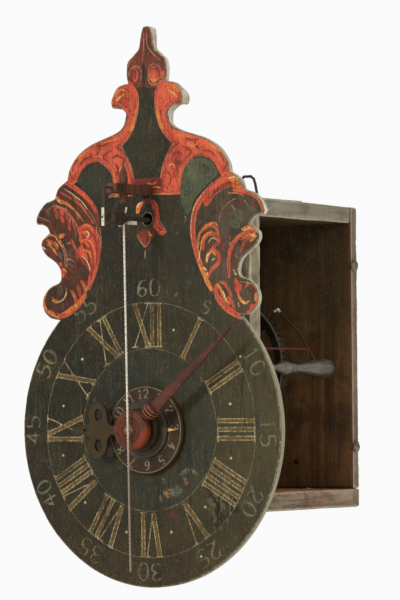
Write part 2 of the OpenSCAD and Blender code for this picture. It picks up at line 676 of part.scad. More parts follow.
module alarm_crown_wheel() {
    n = 15; x0 = hammer_x - 20.5;
    color(WHEEL) at(0, alarm_d, hammer_z) difference() {
        union() {
            translate([x0, 0, 0]) rotate([0, 90, 0]) cylinder(r = 15.5, h = 3.5);
            translate([x0 - 4, 0, 0]) rotate([0, 90, 0]) cylinder(r = 7, h = 5);
            translate([x0, 0, 0]) rotate([0, 90, 0]) difference() {
                cylinder(r = 16, h = 15.5);
                translate([0, 0, -1]) cylinder(r = 13.5, h = 18);
            }
        }
        for (i = [0 : n - 1]) rotate([360 * (i + 0.5) / n, 0, 0]) translate([x0 + 9, 0, 11])
            linear_extrude(6) polygon([[0, -1.65], [0, 1.65], [8, 3.56], [8, -2.26]]);
        translate([x0 - 10, 0, 0]) rotate([0, 90, 0]) cylinder(r = 2.5 + EPS, h = 20);
    }
}
module alarm_arbor() {
    // arbor turned in one piece with its rope pulley
    color(WHEEL) at(0, alarm_d, hammer_z) rotate([0, 90, 0]) rotate_extrude() polygon([
        [0, 23], [2.5, 23], [2.5, 34], [13, 34], [13, 36], [9, 40], [9, 42], [13, 46], [13, 48],
        [2.5, 48], [2.5, 66], [0, 66]]);
}

shield();
case_front_board();
case_back_board();
case_top_board();
case_bottom_board();
case_left_board();
case_pegs();
door_ears();
hanging_hoop();
gallows_arm();
gallows_peg();
gallows_post();
verge_front_plate();
middle_bar();
rear_bar();
crown_bridge();
potence();
bell();
bell_post();
alarm_posts();
centre_arbor();
minute_wheel();
minute_hub();
minute_hand();
hour_wheel();
hour_tube();
hour_collar();
hour_hand();
alarm_disc();
alarm_inner_disc();
alarm_pointer();
alarm_cam();
great_arbor();
great_wheel();
motion_pinion();
motion_wheel();
rope_pulley();
ratchet_wheel();
ratchet_click();
contrate_wheel();
contrate_arbor();
contrate_pinion();
crown_wheel();
escape_arbor();
escape_pinion();
verge_arbor();
verge_spool();
verge_pallets();
verge_strip();
rod_clip();
pendulum_rod();
hammer_arbor();
hammer_wire();
hammer_tip();
hammer_pallets();
alarm_detent();
alarm_crown_wheel();
alarm_arbor();
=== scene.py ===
import bpy, bmesh, math
import numpy as np
from mathutils import Vector, Matrix, geometry, kdtree, noise


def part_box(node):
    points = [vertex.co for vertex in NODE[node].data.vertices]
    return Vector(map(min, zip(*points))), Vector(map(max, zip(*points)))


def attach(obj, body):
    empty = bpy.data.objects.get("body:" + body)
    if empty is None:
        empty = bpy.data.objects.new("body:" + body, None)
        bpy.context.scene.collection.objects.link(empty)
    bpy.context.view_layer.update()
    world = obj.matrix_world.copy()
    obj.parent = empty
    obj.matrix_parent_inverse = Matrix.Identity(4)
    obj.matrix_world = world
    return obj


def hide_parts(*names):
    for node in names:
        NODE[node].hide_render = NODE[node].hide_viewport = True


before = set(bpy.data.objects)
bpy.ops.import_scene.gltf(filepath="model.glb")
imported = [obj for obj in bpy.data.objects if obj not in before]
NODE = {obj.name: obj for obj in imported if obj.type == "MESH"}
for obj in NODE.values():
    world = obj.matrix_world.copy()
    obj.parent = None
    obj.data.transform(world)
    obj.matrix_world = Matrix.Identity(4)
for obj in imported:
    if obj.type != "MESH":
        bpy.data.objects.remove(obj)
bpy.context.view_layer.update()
DEPTH = 190.5            # mm from the dial's front face back to the wall plane
rng = np.random.default_rng(7)


# ---------------------------------------------------------------- small maths
def cr(a, b, c, d, t):
    return 0.5 * (2 * b + (c - a) * t + (2 * a - 5 * b + 4 * c - d) * t * t + (3 * b - a - 3 * c + d) * t ** 3)


def smooth(pts, n):
    P = np.array(pts, float)
    out = []
    for i in range(len(P) - 1):
        a, b, c, d = P[max(i - 1, 0)], P[i], P[i + 1], P[min(i + 2, len(P) - 1)]
        out += [cr(a, b, c, d, j / n) for j in range(n)]
    return np.array(out + [P[-1]])


def smooth_closed(pts, n):
    P = np.array(pts, float)
    k = len(P)
    return np.array([cr(P[i - 1], P[i], P[(i + 1) % k], P[(i + 2) % k], j / n) for i in range(k) for j in range(n)])


def resample(P, step, closed=False):
    if closed:
        P = np.vstack([P, P[:1]])
    L = np.r_[0, np.cumsum(np.hypot(*(P[1:] - P[:-1]).T))]
    n = max(2, int(round(L[-1] / step)) + 1)
    s = np.linspace(0, L[-1], n)
    Q = np.c_[np.interp(s, L, P[:, 0]), np.interp(s, L, P[:, 1])]
    return Q[:-1] if closed else Q


def inside(P, poly):
    x, z = P[:, 0], P[:, 1]
    r = np.zeros(len(P), bool)
    a = poly
    b = np.roll(poly, -1, 0)
    for (x0, z0), (x1, z1) in zip(a, b):
        if z0 != z1:
            c = (z0 > z) != (z1 > z)
            r ^= c & (x < (x1 - x0) * (z - z0) / (z1 - z0) + x0)
    return r


def seg_dist(P, a, b):
    d = b - a
    L2 = max(float(d @ d), 1e-9)
    t = np.clip(((P - a) @ d) / L2, 0, 1)
    q = a + t[:, None] * d
    return np.hypot(*(P - q).T), t


def fbm(p, scale, octaves=3):
    return noise.fractal(Vector(p) * scale, 1.0, 2.0, octaves)


# ---------------------------------------------------------------- meshes
def mm(x, yd, z):
    return (x / 1000, (yd - DEPTH) / 1000, z / 1000)


def make(name, verts, faces, body, replaces=(), mats=(), flat=False, index=None):
    me = bpy.data.meshes.new(name)
    me.from_pydata([tuple(v) for v in verts], [], [tuple(map(int, f)) for f in faces])
    me.validate()
    me.update()
    for m in mats:
        me.materials.append(m)
    if not flat:
        me.polygons.foreach_set("use_smooth", [True] * len(me.polygons))
    if index is not None:
        me.polygons.foreach_set("material_index", list(index))
    o = bpy.data.objects.new(name, me)
    bpy.context.scene.collection.objects.link(o)
    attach(o, body)
    if replaces:
        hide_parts(*replaces)
    return o


def attribute(o, name, values):
    a = o.data.attributes.new(name, "FLOAT", "POINT")
    a.data.foreach_set("value", np.asarray(values, np.float32))


def crisp(o, deg=35):
    """Smooth shading with the real corners kept."""
    bm = bmesh.new()
    bm.from_mesh(o.data)
    for e in bm.edges:
        if len(e.link_faces) == 2 and e.calc_face_angle(0) > math.radians(deg):
            e.smooth = False
    bm.to_mesh(o.data)
    bm.free()


# ---------------------------------------------------------------- node shorthand
def lin(c):
    return tuple(((v / 255) / 12.92 if v / 255 <= 0.04045 else ((v / 255 + 0.055) / 1.055) ** 2.4) for v in c) + (1.0,)


class G:
    def __init__(s, name, level=.72):
        s.level = level
        s.m = bpy.data.materials.new(name)
        s.m.use_nodes = True
        s.t = s.m.node_tree
        s.bsdf = next(n for n in s.t.nodes if n.type == "BSDF_PRINCIPLED")
        s._co = None

    def n(s, kind):
        return s.t.nodes.new(kind)

    def put(s, sock, v):
        if hasattr(v, "is_linked"):
            s.t.links.new(v, sock)
        elif isinstance(v, tuple) and len(v) == 3 and sock.type == "RGBA":
            sock.default_value = lin(v)
        else:
            sock.default_value = v

    def co(s):
        if s._co is None:
            c = s.n("ShaderNodeTexCoord").outputs["Object"]
            v = s.n("ShaderNodeVectorMath"); v.operation = "SCALE"
            s.put(v.inputs[0], c); v.inputs["Scale"].default_value = 1000
            s._co = v.outputs[0]
        return s._co

    def stretch(s, v, k, off=(0, 0, 0)):
        a = s.n("ShaderNodeVectorMath"); a.operation = "MULTIPLY_ADD"
        s.put(a.inputs[0], v); a.inputs[1].default_value = k; a.inputs[2].default_value = off
        return a.outputs[0]

    def warp(s, v, amount, scale):
        nz = s.n("ShaderNodeTexNoise"); s.put(nz.inputs["Vector"], v)
        nz.inputs["Scale"].default_value = scale; nz.inputs["Detail"].default_value = 2
        c = s.n("ShaderNodeVectorMath"); c.operation = "MULTIPLY_ADD"
        s.put(c.inputs[0], nz.outputs["Color"]); c.inputs[1].default_value = (amount,) * 3
        s.put(c.inputs[2], v)
        return c.outputs[0]

    def noise(s, v, scale, detail=3, rough=.55, dist=0.0):
        nz = s.n("ShaderNodeTexNoise")
        s.put(nz.inputs["Vector"], v)
        for k, x in (("Scale", scale), ("Detail", detail), ("Roughness", rough), ("Distortion", dist)):
            nz.inputs[k].default_value = x
        return nz.outputs[0]

    def vor(s, v, scale, feature="F1", rand=1.0):
        z = s.n("ShaderNodeTexVoronoi"); z.feature = feature
        s.put(z.inputs["Vector"], v); z.inputs["Scale"].default_value = scale
        z.inputs["Randomness"].default_value = rand
        return z.outputs["Distance"]

    def streak(s, f, k=1.6, along=.05, detail=3, off=0.0):
        """Hairlines that run along a painted stroke: f is the distance inside the stroke."""
        x = s.xyz(s.co())
        c = s.n("ShaderNodeCombineXYZ")
        s.put(c.inputs[0], s.math("MULTIPLY_ADD", f, k, off))
        s.put(c.inputs[1], s.mul(x[0], along)); s.put(c.inputs[2], s.mul(x[2], along))
        return s.noise(c.outputs[0], 1.0, detail, .6)

    def attr(s, name):
        a = s.n("ShaderNodeAttribute"); a.attribute_name = name
        return a.outputs["Fac"]

    def xyz(s, v):
        x = s.n("ShaderNodeSeparateXYZ"); s.put(x.inputs[0], v)
        return x.outputs

    def math(s, op, a, b=None, c=None, clamp=False):
        m = s.n("ShaderNodeMath"); m.operation = op; m.use_clamp = clamp
        for i, v in enumerate((a, b, c)):
            if v is not None:
                s.put(m.inputs[i], v)
        return m.outputs[0]

    def add(s, *v):
        r = v[0]
        for x in v[1:]:
            r = s.math("ADD", r, x)
        return r

    def mul(s, *v):
        r = v[0]
        for x in v[1:]:
            r = s.math("MULTIPLY", r, x)
        return r

    def step(s, v, lo, hi, a=0.0, b=1.0):
        m = s.n("ShaderNodeMapRange"); m.interpolation_type = "SMOOTHSTEP"
        for i, x in enumerate((v, lo, hi, a, b)):
            s.put(m.inputs[i], x)
        return m.outputs[0]

    def ramp(s, f, stops):
        r = s.n("ShaderNodeValToRGB"); s.put(r.inputs[0], f)
        e = r.color_ramp.elements
        while len(e) > 1:
            e.remove(e[-1])
        e[0].position, e[0].color = stops[0][0], lin(stops[0][1])
        for p, c in stops[1:]:
            k = e.new(p); k.color = lin(c)
        return r.outputs[0]

    def mix(s, f, a, b, kind="MIX"):
        m = s.n("ShaderNodeMix"); m.data_type = "RGBA"; m.blend_type = kind
        s.put(m.inputs[0], f); s.put(m.inputs[6], a); s.put(m.inputs[7], b)
        return m.outputs[2]

    def gain(s, c, f):
        """Colour c times the number f."""
        v = s.n("ShaderNodeVectorMath"); v.operation = "SCALE"
        s.put(v.inputs[0], c); s.put(v.inputs["Scale"], f)
        return v.outputs[0]

    def finish(s, color, rough, height=None, mm_deep=0.3, metal=None, spec=None, coat=None):
        b = s.bsdf
        s.put(b.inputs["Base Color"], s.gain(color, s.level) if s.level != 1 else color)
        s.put(b.inputs["Roughness"], rough)
        if metal is not None:
            s.put(b.inputs["Metallic"], metal)
        if spec is not None:
            b.inputs["Specular IOR Level"].default_value = spec
        if coat is not None:
            b.inputs["Coat Weight"].default_value = coat[0]
            b.inputs["Coat Roughness"].default_value = coat[1]
        if height is not None:
            bp = s.n("ShaderNodeBump")
            bp.inputs["Strength"].default_value = 1.0
            bp.inputs["Distance"].default_value = mm_deep / 1000
            s.put(bp.inputs["Height"], height)
            s.t.links.new(bp.outputs[0], b.inputs["Normal"])
        return s.m


def wood(name, dark, mid, light, axis=2, grain=1.0, contrast=1.0, rough=(.5, .75), deep=.25, dirt=None, dirt_amount=.5,
         edge=None, worm=0.0, patch=None, off=(0, 0, 0), spec=.18, shade=None, level=.72, line=None, specks=None, radial_shade_glint=None, shade2=None):
    """Old wood: broad figure, fine grain and open pores along one axis, stains, worm holes and rubbed edges."""
    g = G(name, level)
    co = g.co()
    k = [1.0] * 3
    k[axis] = .045
    gv = g.stretch(g.warp(co, 5.0, .012), tuple(k), off)
    big = g.noise(gv, .06 * grain, 3, .5, .8)
    med = g.noise(gv, .32 * grain, 4, .6, .5)
    fine = g.noise(gv, 1.7 * grain, 4, .65, .2)
    t = g.add(g.mul(g.math("SUBTRACT", big, .5), 1.1 * contrast), g.mul(g.math("SUBTRACT", med, .5), 1.0 * contrast),
              g.mul(g.math("SUBTRACT", fine, .5), .8 * contrast), .5)
    col = g.ramp(t, [(.18, dark), (.5, mid), (.84, light)])
    k2 = [1.0] * 3
    k2[axis] = .09
    pores = g.step(g.noise(g.stretch(co, tuple(k2), (7, 3, 1)), 3.4 * grain, 2, .5), .36, .25)
    col = g.mix(g.mul(pores, .65), col, dark)
    hgt = g.add(g.mul(fine, .5), g.mul(med, .4), g.mul(pores, -.6))
    if patch is not None:            # (colour, low, high, scale)
        f = g.step(g.noise(co, patch[3], 4, .6, .6), patch[1], patch[2])
        col = g.mix(g.mul(f, .8), col, patch[0])
    if dirt is not None:
        f = g.step(g.noise(co, .035, 5, .62, .4), .42, .68)
        f2 = g.step(g.noise(co, .3, 4, .7), .5, .75)
        col = g.mix(g.math("MAXIMUM", g.mul(f, dirt_amount), g.mul(f2, dirt_amount * .6)), col, dirt)
    if shade is not None:            # (axis, value with full shade, value with none, colour, strength)
        f = g.step(g.xyz(co)[shade[0]], shade[1], shade[2], 1.0, 0.0)
        col = g.mix(g.mul(f, shade[4]), col, shade[3])
    if shade2 is not None:           # a second one, the same way
        f = g.step(g.xyz(co)[shade2[0]], shade2[1], shade2[2], 1.0, 0.0)
        col = g.mix(g.mul(f, shade2[4]), col, shade2[3])
    if specks is not None:           # (colour, amount)
        lo = specks[2] if len(specks) > 2 else .60
        f = g.step(g.noise(co, .8, 5, .75), lo, lo + .08)
        col = g.mix(g.mul(f, specks[1]), col, specks[0])
    if radial_shade_glint is not None:           # painted shade and painted highlight: (centre x, centre z, radius inside which the web is painted in shade, shade colour, radius of the painted highlight line on the rim, highlight colour)
        q = g.xyz(co)
        dx, dz = g.math("SUBTRACT", q[0], radial_shade_glint[0]), g.math("SUBTRACT", q[2], radial_shade_glint[1])
        d = g.math("SQRT", g.add(g.mul(dx, dx), g.mul(dz, dz)))
        col = g.mix(g.mul(g.step(d, radial_shade_glint[2] + 1, radial_shade_glint[2] - 1), .8), col, radial_shade_glint[3])
        rim_glint = g.step(g.math("ABSOLUTE", g.math("SUBTRACT", d, radial_shade_glint[4])), 1.1, .5)
        col = g.mix(g.mul(rim_glint, .9), col, radial_shade_glint[5])
    if line is not None:             # (axis, value, half width, colour, strength)
        d = g.math("ABSOLUTE", g.math("SUBTRACT", g.add(g.xyz(co)[line[0]], g.mul(g.math("SUBTRACT", g.noise(co, .06, 3, .6), .5), 2.4)), line[1]))
        col = g.mix(g.mul(g.step(d, line[2] + .5, line[2] - .3), line[4]), col, line[3])
    if worm:
        cell = g.vor(g.stretch(co, (1, 1, 1), (11, 5, 2)), worm, "F1")
        hole = g.step(cell, .085, .055)
        col = g.mix(g.mul(hole, .92), col, (20, 13, 9))
        hgt = g.add(hgt, g.mul(hole, -2.2))
    if edge is not None:             # rubbed edges from the piece's own edge distance, mm
        e = g.attr("edge")
        f = g.step(g.add(e, g.mul(g.noise(co, .25, 4, .65), -5.0)), .2, -2.0)
        col = g.mix(g.mul(f, .85), col, edge)
    r = g.add(rough[0], g.mul(g.noise(co, .6, 3, .6), rough[1] - rough[0]), g.mul(pores, .1))
    return g.finish(col, r, hgt, deep, spec=spec)


def paint(name, base, var, worn, wear=.5, rough=(.35, .55), deep=.12, scale=1.0, spec=.2, edge_wear=True,
          dirt=(24, 18, 12), level=.72, sharp=(.545, .575), glint_side=None):
    """Old brushed paint over wood or metal: brush marks, colour drift, grime in the low spots, rubbed corners."""
    g = G(name, level)
    co = g.co()
    drift = g.step(g.noise(co, .05 * scale, 4, .6, .5), .35, .65)
    col = g.mix(drift, base, var)
    brush = g.noise(g.stretch(g.warp(co, 2.0, .05), (1, 1, .15)), .9 * scale, 4, .65)
    col = g.gain(col, g.step(brush, .2, .8, .72, 1.28))
    spots = g.step(g.noise(co, .55 * scale, 5, .72), .60, .70)
    col = g.mix(g.mul(spots, .55), col, worn)
    grime = g.step(g.noise(co, .22 * scale, 5, .65, .3), .52, .66)
    col = g.mix(g.mul(grime, .5), col, dirt)
    if glint_side is not None:             # painted highlight on one side, fixed in the world: (direction x, z, none, full, colour, strength)
        q = g.xyz(co)
        f = g.step(g.add(g.mul(q[0], glint_side[0]), g.mul(q[2], glint_side[1]), g.mul(g.math("SUBTRACT", g.noise(co, .25, 3, .6), .5), 6)), glint_side[2], glint_side[3])
        col = g.mix(g.mul(f, glint_side[5]), col, glint_side[4])
    hgt = g.add(g.mul(brush, .5), g.mul(spots, -.3), g.mul(g.noise(co, 2.5, 3, .6), .35))
    if edge_wear:
        geo = g.n("ShaderNodeNewGeometry")
        f = g.step(g.add(geo.outputs["Pointiness"], g.mul(g.math("SUBTRACT", g.noise(co, .8, 3, .6), .5), .05)), *sharp)
        col = g.mix(g.mul(f, wear), col, worn)
    r = g.add(rough[0], g.mul(g.noise(co, .5, 3, .6), rough[1] - rough[0]), g.mul(grime, .15))
    return g.finish(col, r, hgt, deep, spec=spec)


def metal(name, base, dark, rust, rust_amount=.4, rough=(.35, .6), deep=.08, met=.85, scale=1.0, bright=None, level=1.0, spec=None, shade=None):
    """Hand-worked metal: hammered skin, patina and rust."""
    g = G(name, level)
    co = g.co()
    a = g.noise(co, .25 * scale, 4, .6, .3)
    b = g.noise(co, 1.6 * scale, 4, .65)
    col = g.mix(g.step(a, .35, .65), base, dark)
    ru = g.step(g.add(g.noise(co, .4 * scale, 5, .7, .5), g.mul(b, .2)), .60 - .12 * rust_amount, .74 - .12 * rust_amount)
    col = g.mix(g.mul(ru, .85), col, rust)
    if bright is not None:
        geo = g.n("ShaderNodeNewGeometry")
        f = g.step(g.add(geo.outputs["Pointiness"], g.mul(g.math("SUBTRACT", b, .5), .05)), .54, .57)
        col = g.mix(g.mul(f, .7), col, bright)
    if shade is not None:            # (axis, value with full shade, value with none, colour, strength)
        f = g.step(g.xyz(co)[shade[0]], shade[1], shade[2], 1.0, 0.0)
        col = g.mix(g.mul(f, shade[4]), col, shade[3])
    m = g.math("MULTIPLY", g.math("SUBTRACT", 1.0, g.mul(ru, .9)), met)
    r = g.add(rough[0], g.mul(b, rough[1] - rough[0]), g.mul(ru, .3))
    return g.finish(col, r, g.add(g.mul(a, .6), g.mul(b, .5)), deep, metal=m, spec=spec)


# ---------------------------------------------------------------- shield outline
RUNS = [
    [(0, 360), (4, 358.5), (6.8, 349), (8.6, 340), (14.5, 334.5), (20.4, 329), (21.8, 321), (21.5, 314), (20.3, 309.5)],
    [(20.3, 309.5), (26, 309), (33, 306), (38.8, 296), (38.5, 290), (36.7, 288)],
    [(36.7, 288), (31, 288.5), (26, 286), (23.1, 283), (23.3, 279.5), (25, 273.5), (28.7, 269), (36.8, 265), (50, 261),
     (64, 256), (77.4, 247.5), (86, 236), (89, 226)],
    [(89, 226), (93, 223.5), (99.7, 218.5), (103, 210)],
    [(103, 210), (107, 208.5), (114, 206), (121, 199), (124.5, 191), (123, 187)],
    [(123, 187), (118, 187), (112, 184), (109, 179)],
    [(109, 179), (113, 176.5), (118, 172), (118.3, 166), (113, 158.5), (103, 152), (98, 146), (96.5, 138), (99, 133.5),
     (107, 130.5), (114, 125), (117.7, 117), (116, 108), (108.5, 101.5), (97.5, 99.5)]]
half = np.vstack([smooth(r, 5)[:-1] for r in RUNS] + [[(97.5, 99.5)]])
keep = [p for p in half if np.hypot(*p) > 140]
p, q = np.array(keep[-1]), half[len(keep)]
for _ in range(40):
    m = (p + q) / 2
    p, q = (m, q) if np.hypot(*m) > 140 else (p, m)
a0 = math.atan2(p[1], p[0])
arc = [(140 * math.cos(a), 140 * math.sin(a)) for a in np.linspace(a0, -math.pi / 2, 190)]
right = np.vstack([resample(np.array(keep + [p]), 1.15), resample(np.array(arc), 1.15)[1:]])
left = right[::-1] * (-1, 1)
OUT = np.vstack([right, left[1:-1]])                     # clockwise loop from the finial's point
HOLES = [(0, 0, 9.58, 60), (0, 187.5, 5.5, 40), (0, 212.5, 3.02, 30)]


def loop_normals(P):
    t = np.roll(P, -1, 0) - np.roll(P, 1, 0)
    t /= np.maximum(np.hypot(*t.T), 1e-9)[:, None]
    return np.c_[t[:, 1], -t[:, 0]]                      # to the right of travel: inward on a clockwise loop


# ---------------------------------------------------------------- painted ornament
# soft brush strokes and filled grounds, mm in the dial's plane
AREAS = [
 ('R',[(10.7,303.8),(18.4,312.2),(28.1,313.4),(43.2,307.1),(47.3,294.5),(47.2,285.6),(34.3,288.1),(27.8,285.9),(21.3,280.9),(23.4,274.6),(29.9,272.4),(42.7,266.4),(57.7,262.9),(72.5,257.7),(85.2,251.8),(93.5,242.6),(97.6,231.8),(95.4,223.2),(88,222.7),(79.6,223.1),(76.4,227.6),(71.2,234.9),(64.9,239.6),(57.4,241.3),(50,240.4),(44.6,236.2),(39.1,229.4),(36.9,220.6),(35.7,211.8),(35.7,208.3),(16.2,209.1),(15.2,217.2),(14.2,223.5),(15.3,228.7),(17.6,234.9),(20.9,241.8),(25.3,247.8),(26.4,254),(22.2,258.6),(15.7,266.1),(11.5,275.2),(9.4,284.3),(8.4,295)]),
 ('R',[(-10.7,303.8),(-18.4,312.2),(-28.1,313.4),(-43.2,307.1),(-47.3,294.5),(-47.2,285.6),(-34.3,288.1),(-27.8,285.9),(-21.3,280.9),(-23.4,274.6),(-29.9,272.4),(-42.7,266.4),(-57.7,262.9),(-72.5,257.7),(-85.2,251.8),(-93.5,242.6),(-97.6,231.8),(-95.4,223.2),(-88,222.7),(-79.6,223.1),(-76.4,227.6),(-71.2,234.9),(-64.9,239.6),(-57.4,241.3),(-50,240.4),(-44.6,236.2),(-39.1,229.4),(-36.9,220.6),(-35.7,211.8),(-35.7,208.3),(-16.2,209.1),(-15.2,217.2),(-14.2,223.5),(-15.3,228.7),(-17.6,234.9),(-20.9,241.8),(-25.3,247.8),(-26.4,254),(-22.2,258.6),(-15.7,266.1),(-11.5,275.2),(-9.4,284.3),(-8.4,295)]),
 ('D',[(-17.4,224.6),(-17.2,224.9),(-8,224.5),(0,224.2),(9,223.8),(17.3,223.4),(17.5,223.1),(17.4,217),(17.3,210.2),(17.1,210),(9,210.2),(0,210.6),(-9,211),(-17.3,211.4),(-17.5,211.7),(-17.4,218)]),
 ('T',[(36.2,218.5),(39,227.7),(44.6,236.4),(52,240),(61.5,239.6),(70,234.8),(75.4,227.6),(74.9,222.6),(67.4,216.8),(58.6,210.5),(50.3,202.4),(47.4,193.6),(43.3,189.9),(38.6,195.7),(35.3,206.8)]),
 ('U',[(-76.8,223.7),(-75.1,231.9),(-68.6,240.2),(-60,242.5),(-49.9,241),(-43.6,235.5),(-39.8,228),(-39.5,222),(-45.5,212),(-56.1,205.6),(-62.5,211),(-70.9,218.3)]),
 ('F',[(-2.9,365.5),(7,364.8),(11.1,346.6),(21.9,335.2),(28.2,322.3),(25.9,310),(18.3,306.9),(12.9,304.6),(4.2,304.2),(-3.5,305.6),(-12.2,305.2),(-21,307.6),(-26.5,311.5),(-28.6,324.2),(-19.6,336.2),(-10.8,344.6),(-8.4,356.9)]),
 ('B',[(79.6,223.1),(84.9,225.4),(99.6,224.7),(110,212),(126.5,202.6),(132.6,186.7),(122.1,176.6),(128.2,164.2),(111.4,154.4),(102.9,145.9),(98.6,130.3),(117.3,126.3),(127.6,113.9),(121.2,100.1),(100.3,95.4),(89.8,100.9),(79.4,109),(71,117.1),(64.7,124.3),(57.4,140.3),(52.2,153.7),(47.1,168.9),(47.2,184.8),(52.7,196.9),(61.4,208),(71,216.4)]),
 ('B',[(-87.5,226.4),(-96.6,225),(-108,214.6),(-126.4,198.9),(-128.8,186.2),(-117.4,185.8),(-108.3,180),(-124.4,173.3),(-126.7,162.4),(-110.9,154.6),(-99.6,147),(-99.7,136.1),(-115.6,132.9),(-122.6,118.6),(-115.8,105.6),(-100,98.9),(-91,102.3),(-77.4,111.1),(-66.1,121.6),(-59.3,133.1),(-53.5,151),(-51.1,170.7),(-53.2,187),(-58.6,199.8),(-67.5,210.1),(-78.6,217.8)]),
 ('D',[(-11.9,175.2),(-8,177.6),(0,178.4),(5.5,178.6),(8.6,176.6),(7.4,172.2),(2.2,166.6),(-2.4,161.9),(-7.8,167.6)]),
 ('R',[(4.6,203.2),(8,202.4),(10.6,194.6),(12.6,185.4),(16,179.4),(20.6,174.6),(14,172.6),(9.4,176.8),(6,180),(6.6,186),(7,193),(5.2,198.4)]),
 ('R',[(-75.6,183.3),(-67.7,186.6),(-61,183.6),(-56.6,179.9),(-52.2,172.5),(-51.8,161.7),(-53.5,151),(-57,140.3),(-61.5,131.4),(-64.9,125.2),(-66.5,133.3),(-64.2,142.3),(-68.1,146.9),(-73.6,152.5),(-76.9,158),(-76.9,163.5),(-74.6,167),(-75.7,173.4),(-74.5,178.7)]),
 ('R',[(82.5,221.6),(96.6,221.8),(108.6,215),(109.7,207.7),(98.8,210.1),(87.9,212.4),(73.7,206.1),(65,196.7),(60.7,201.3),(68.3,211.6)]),
]
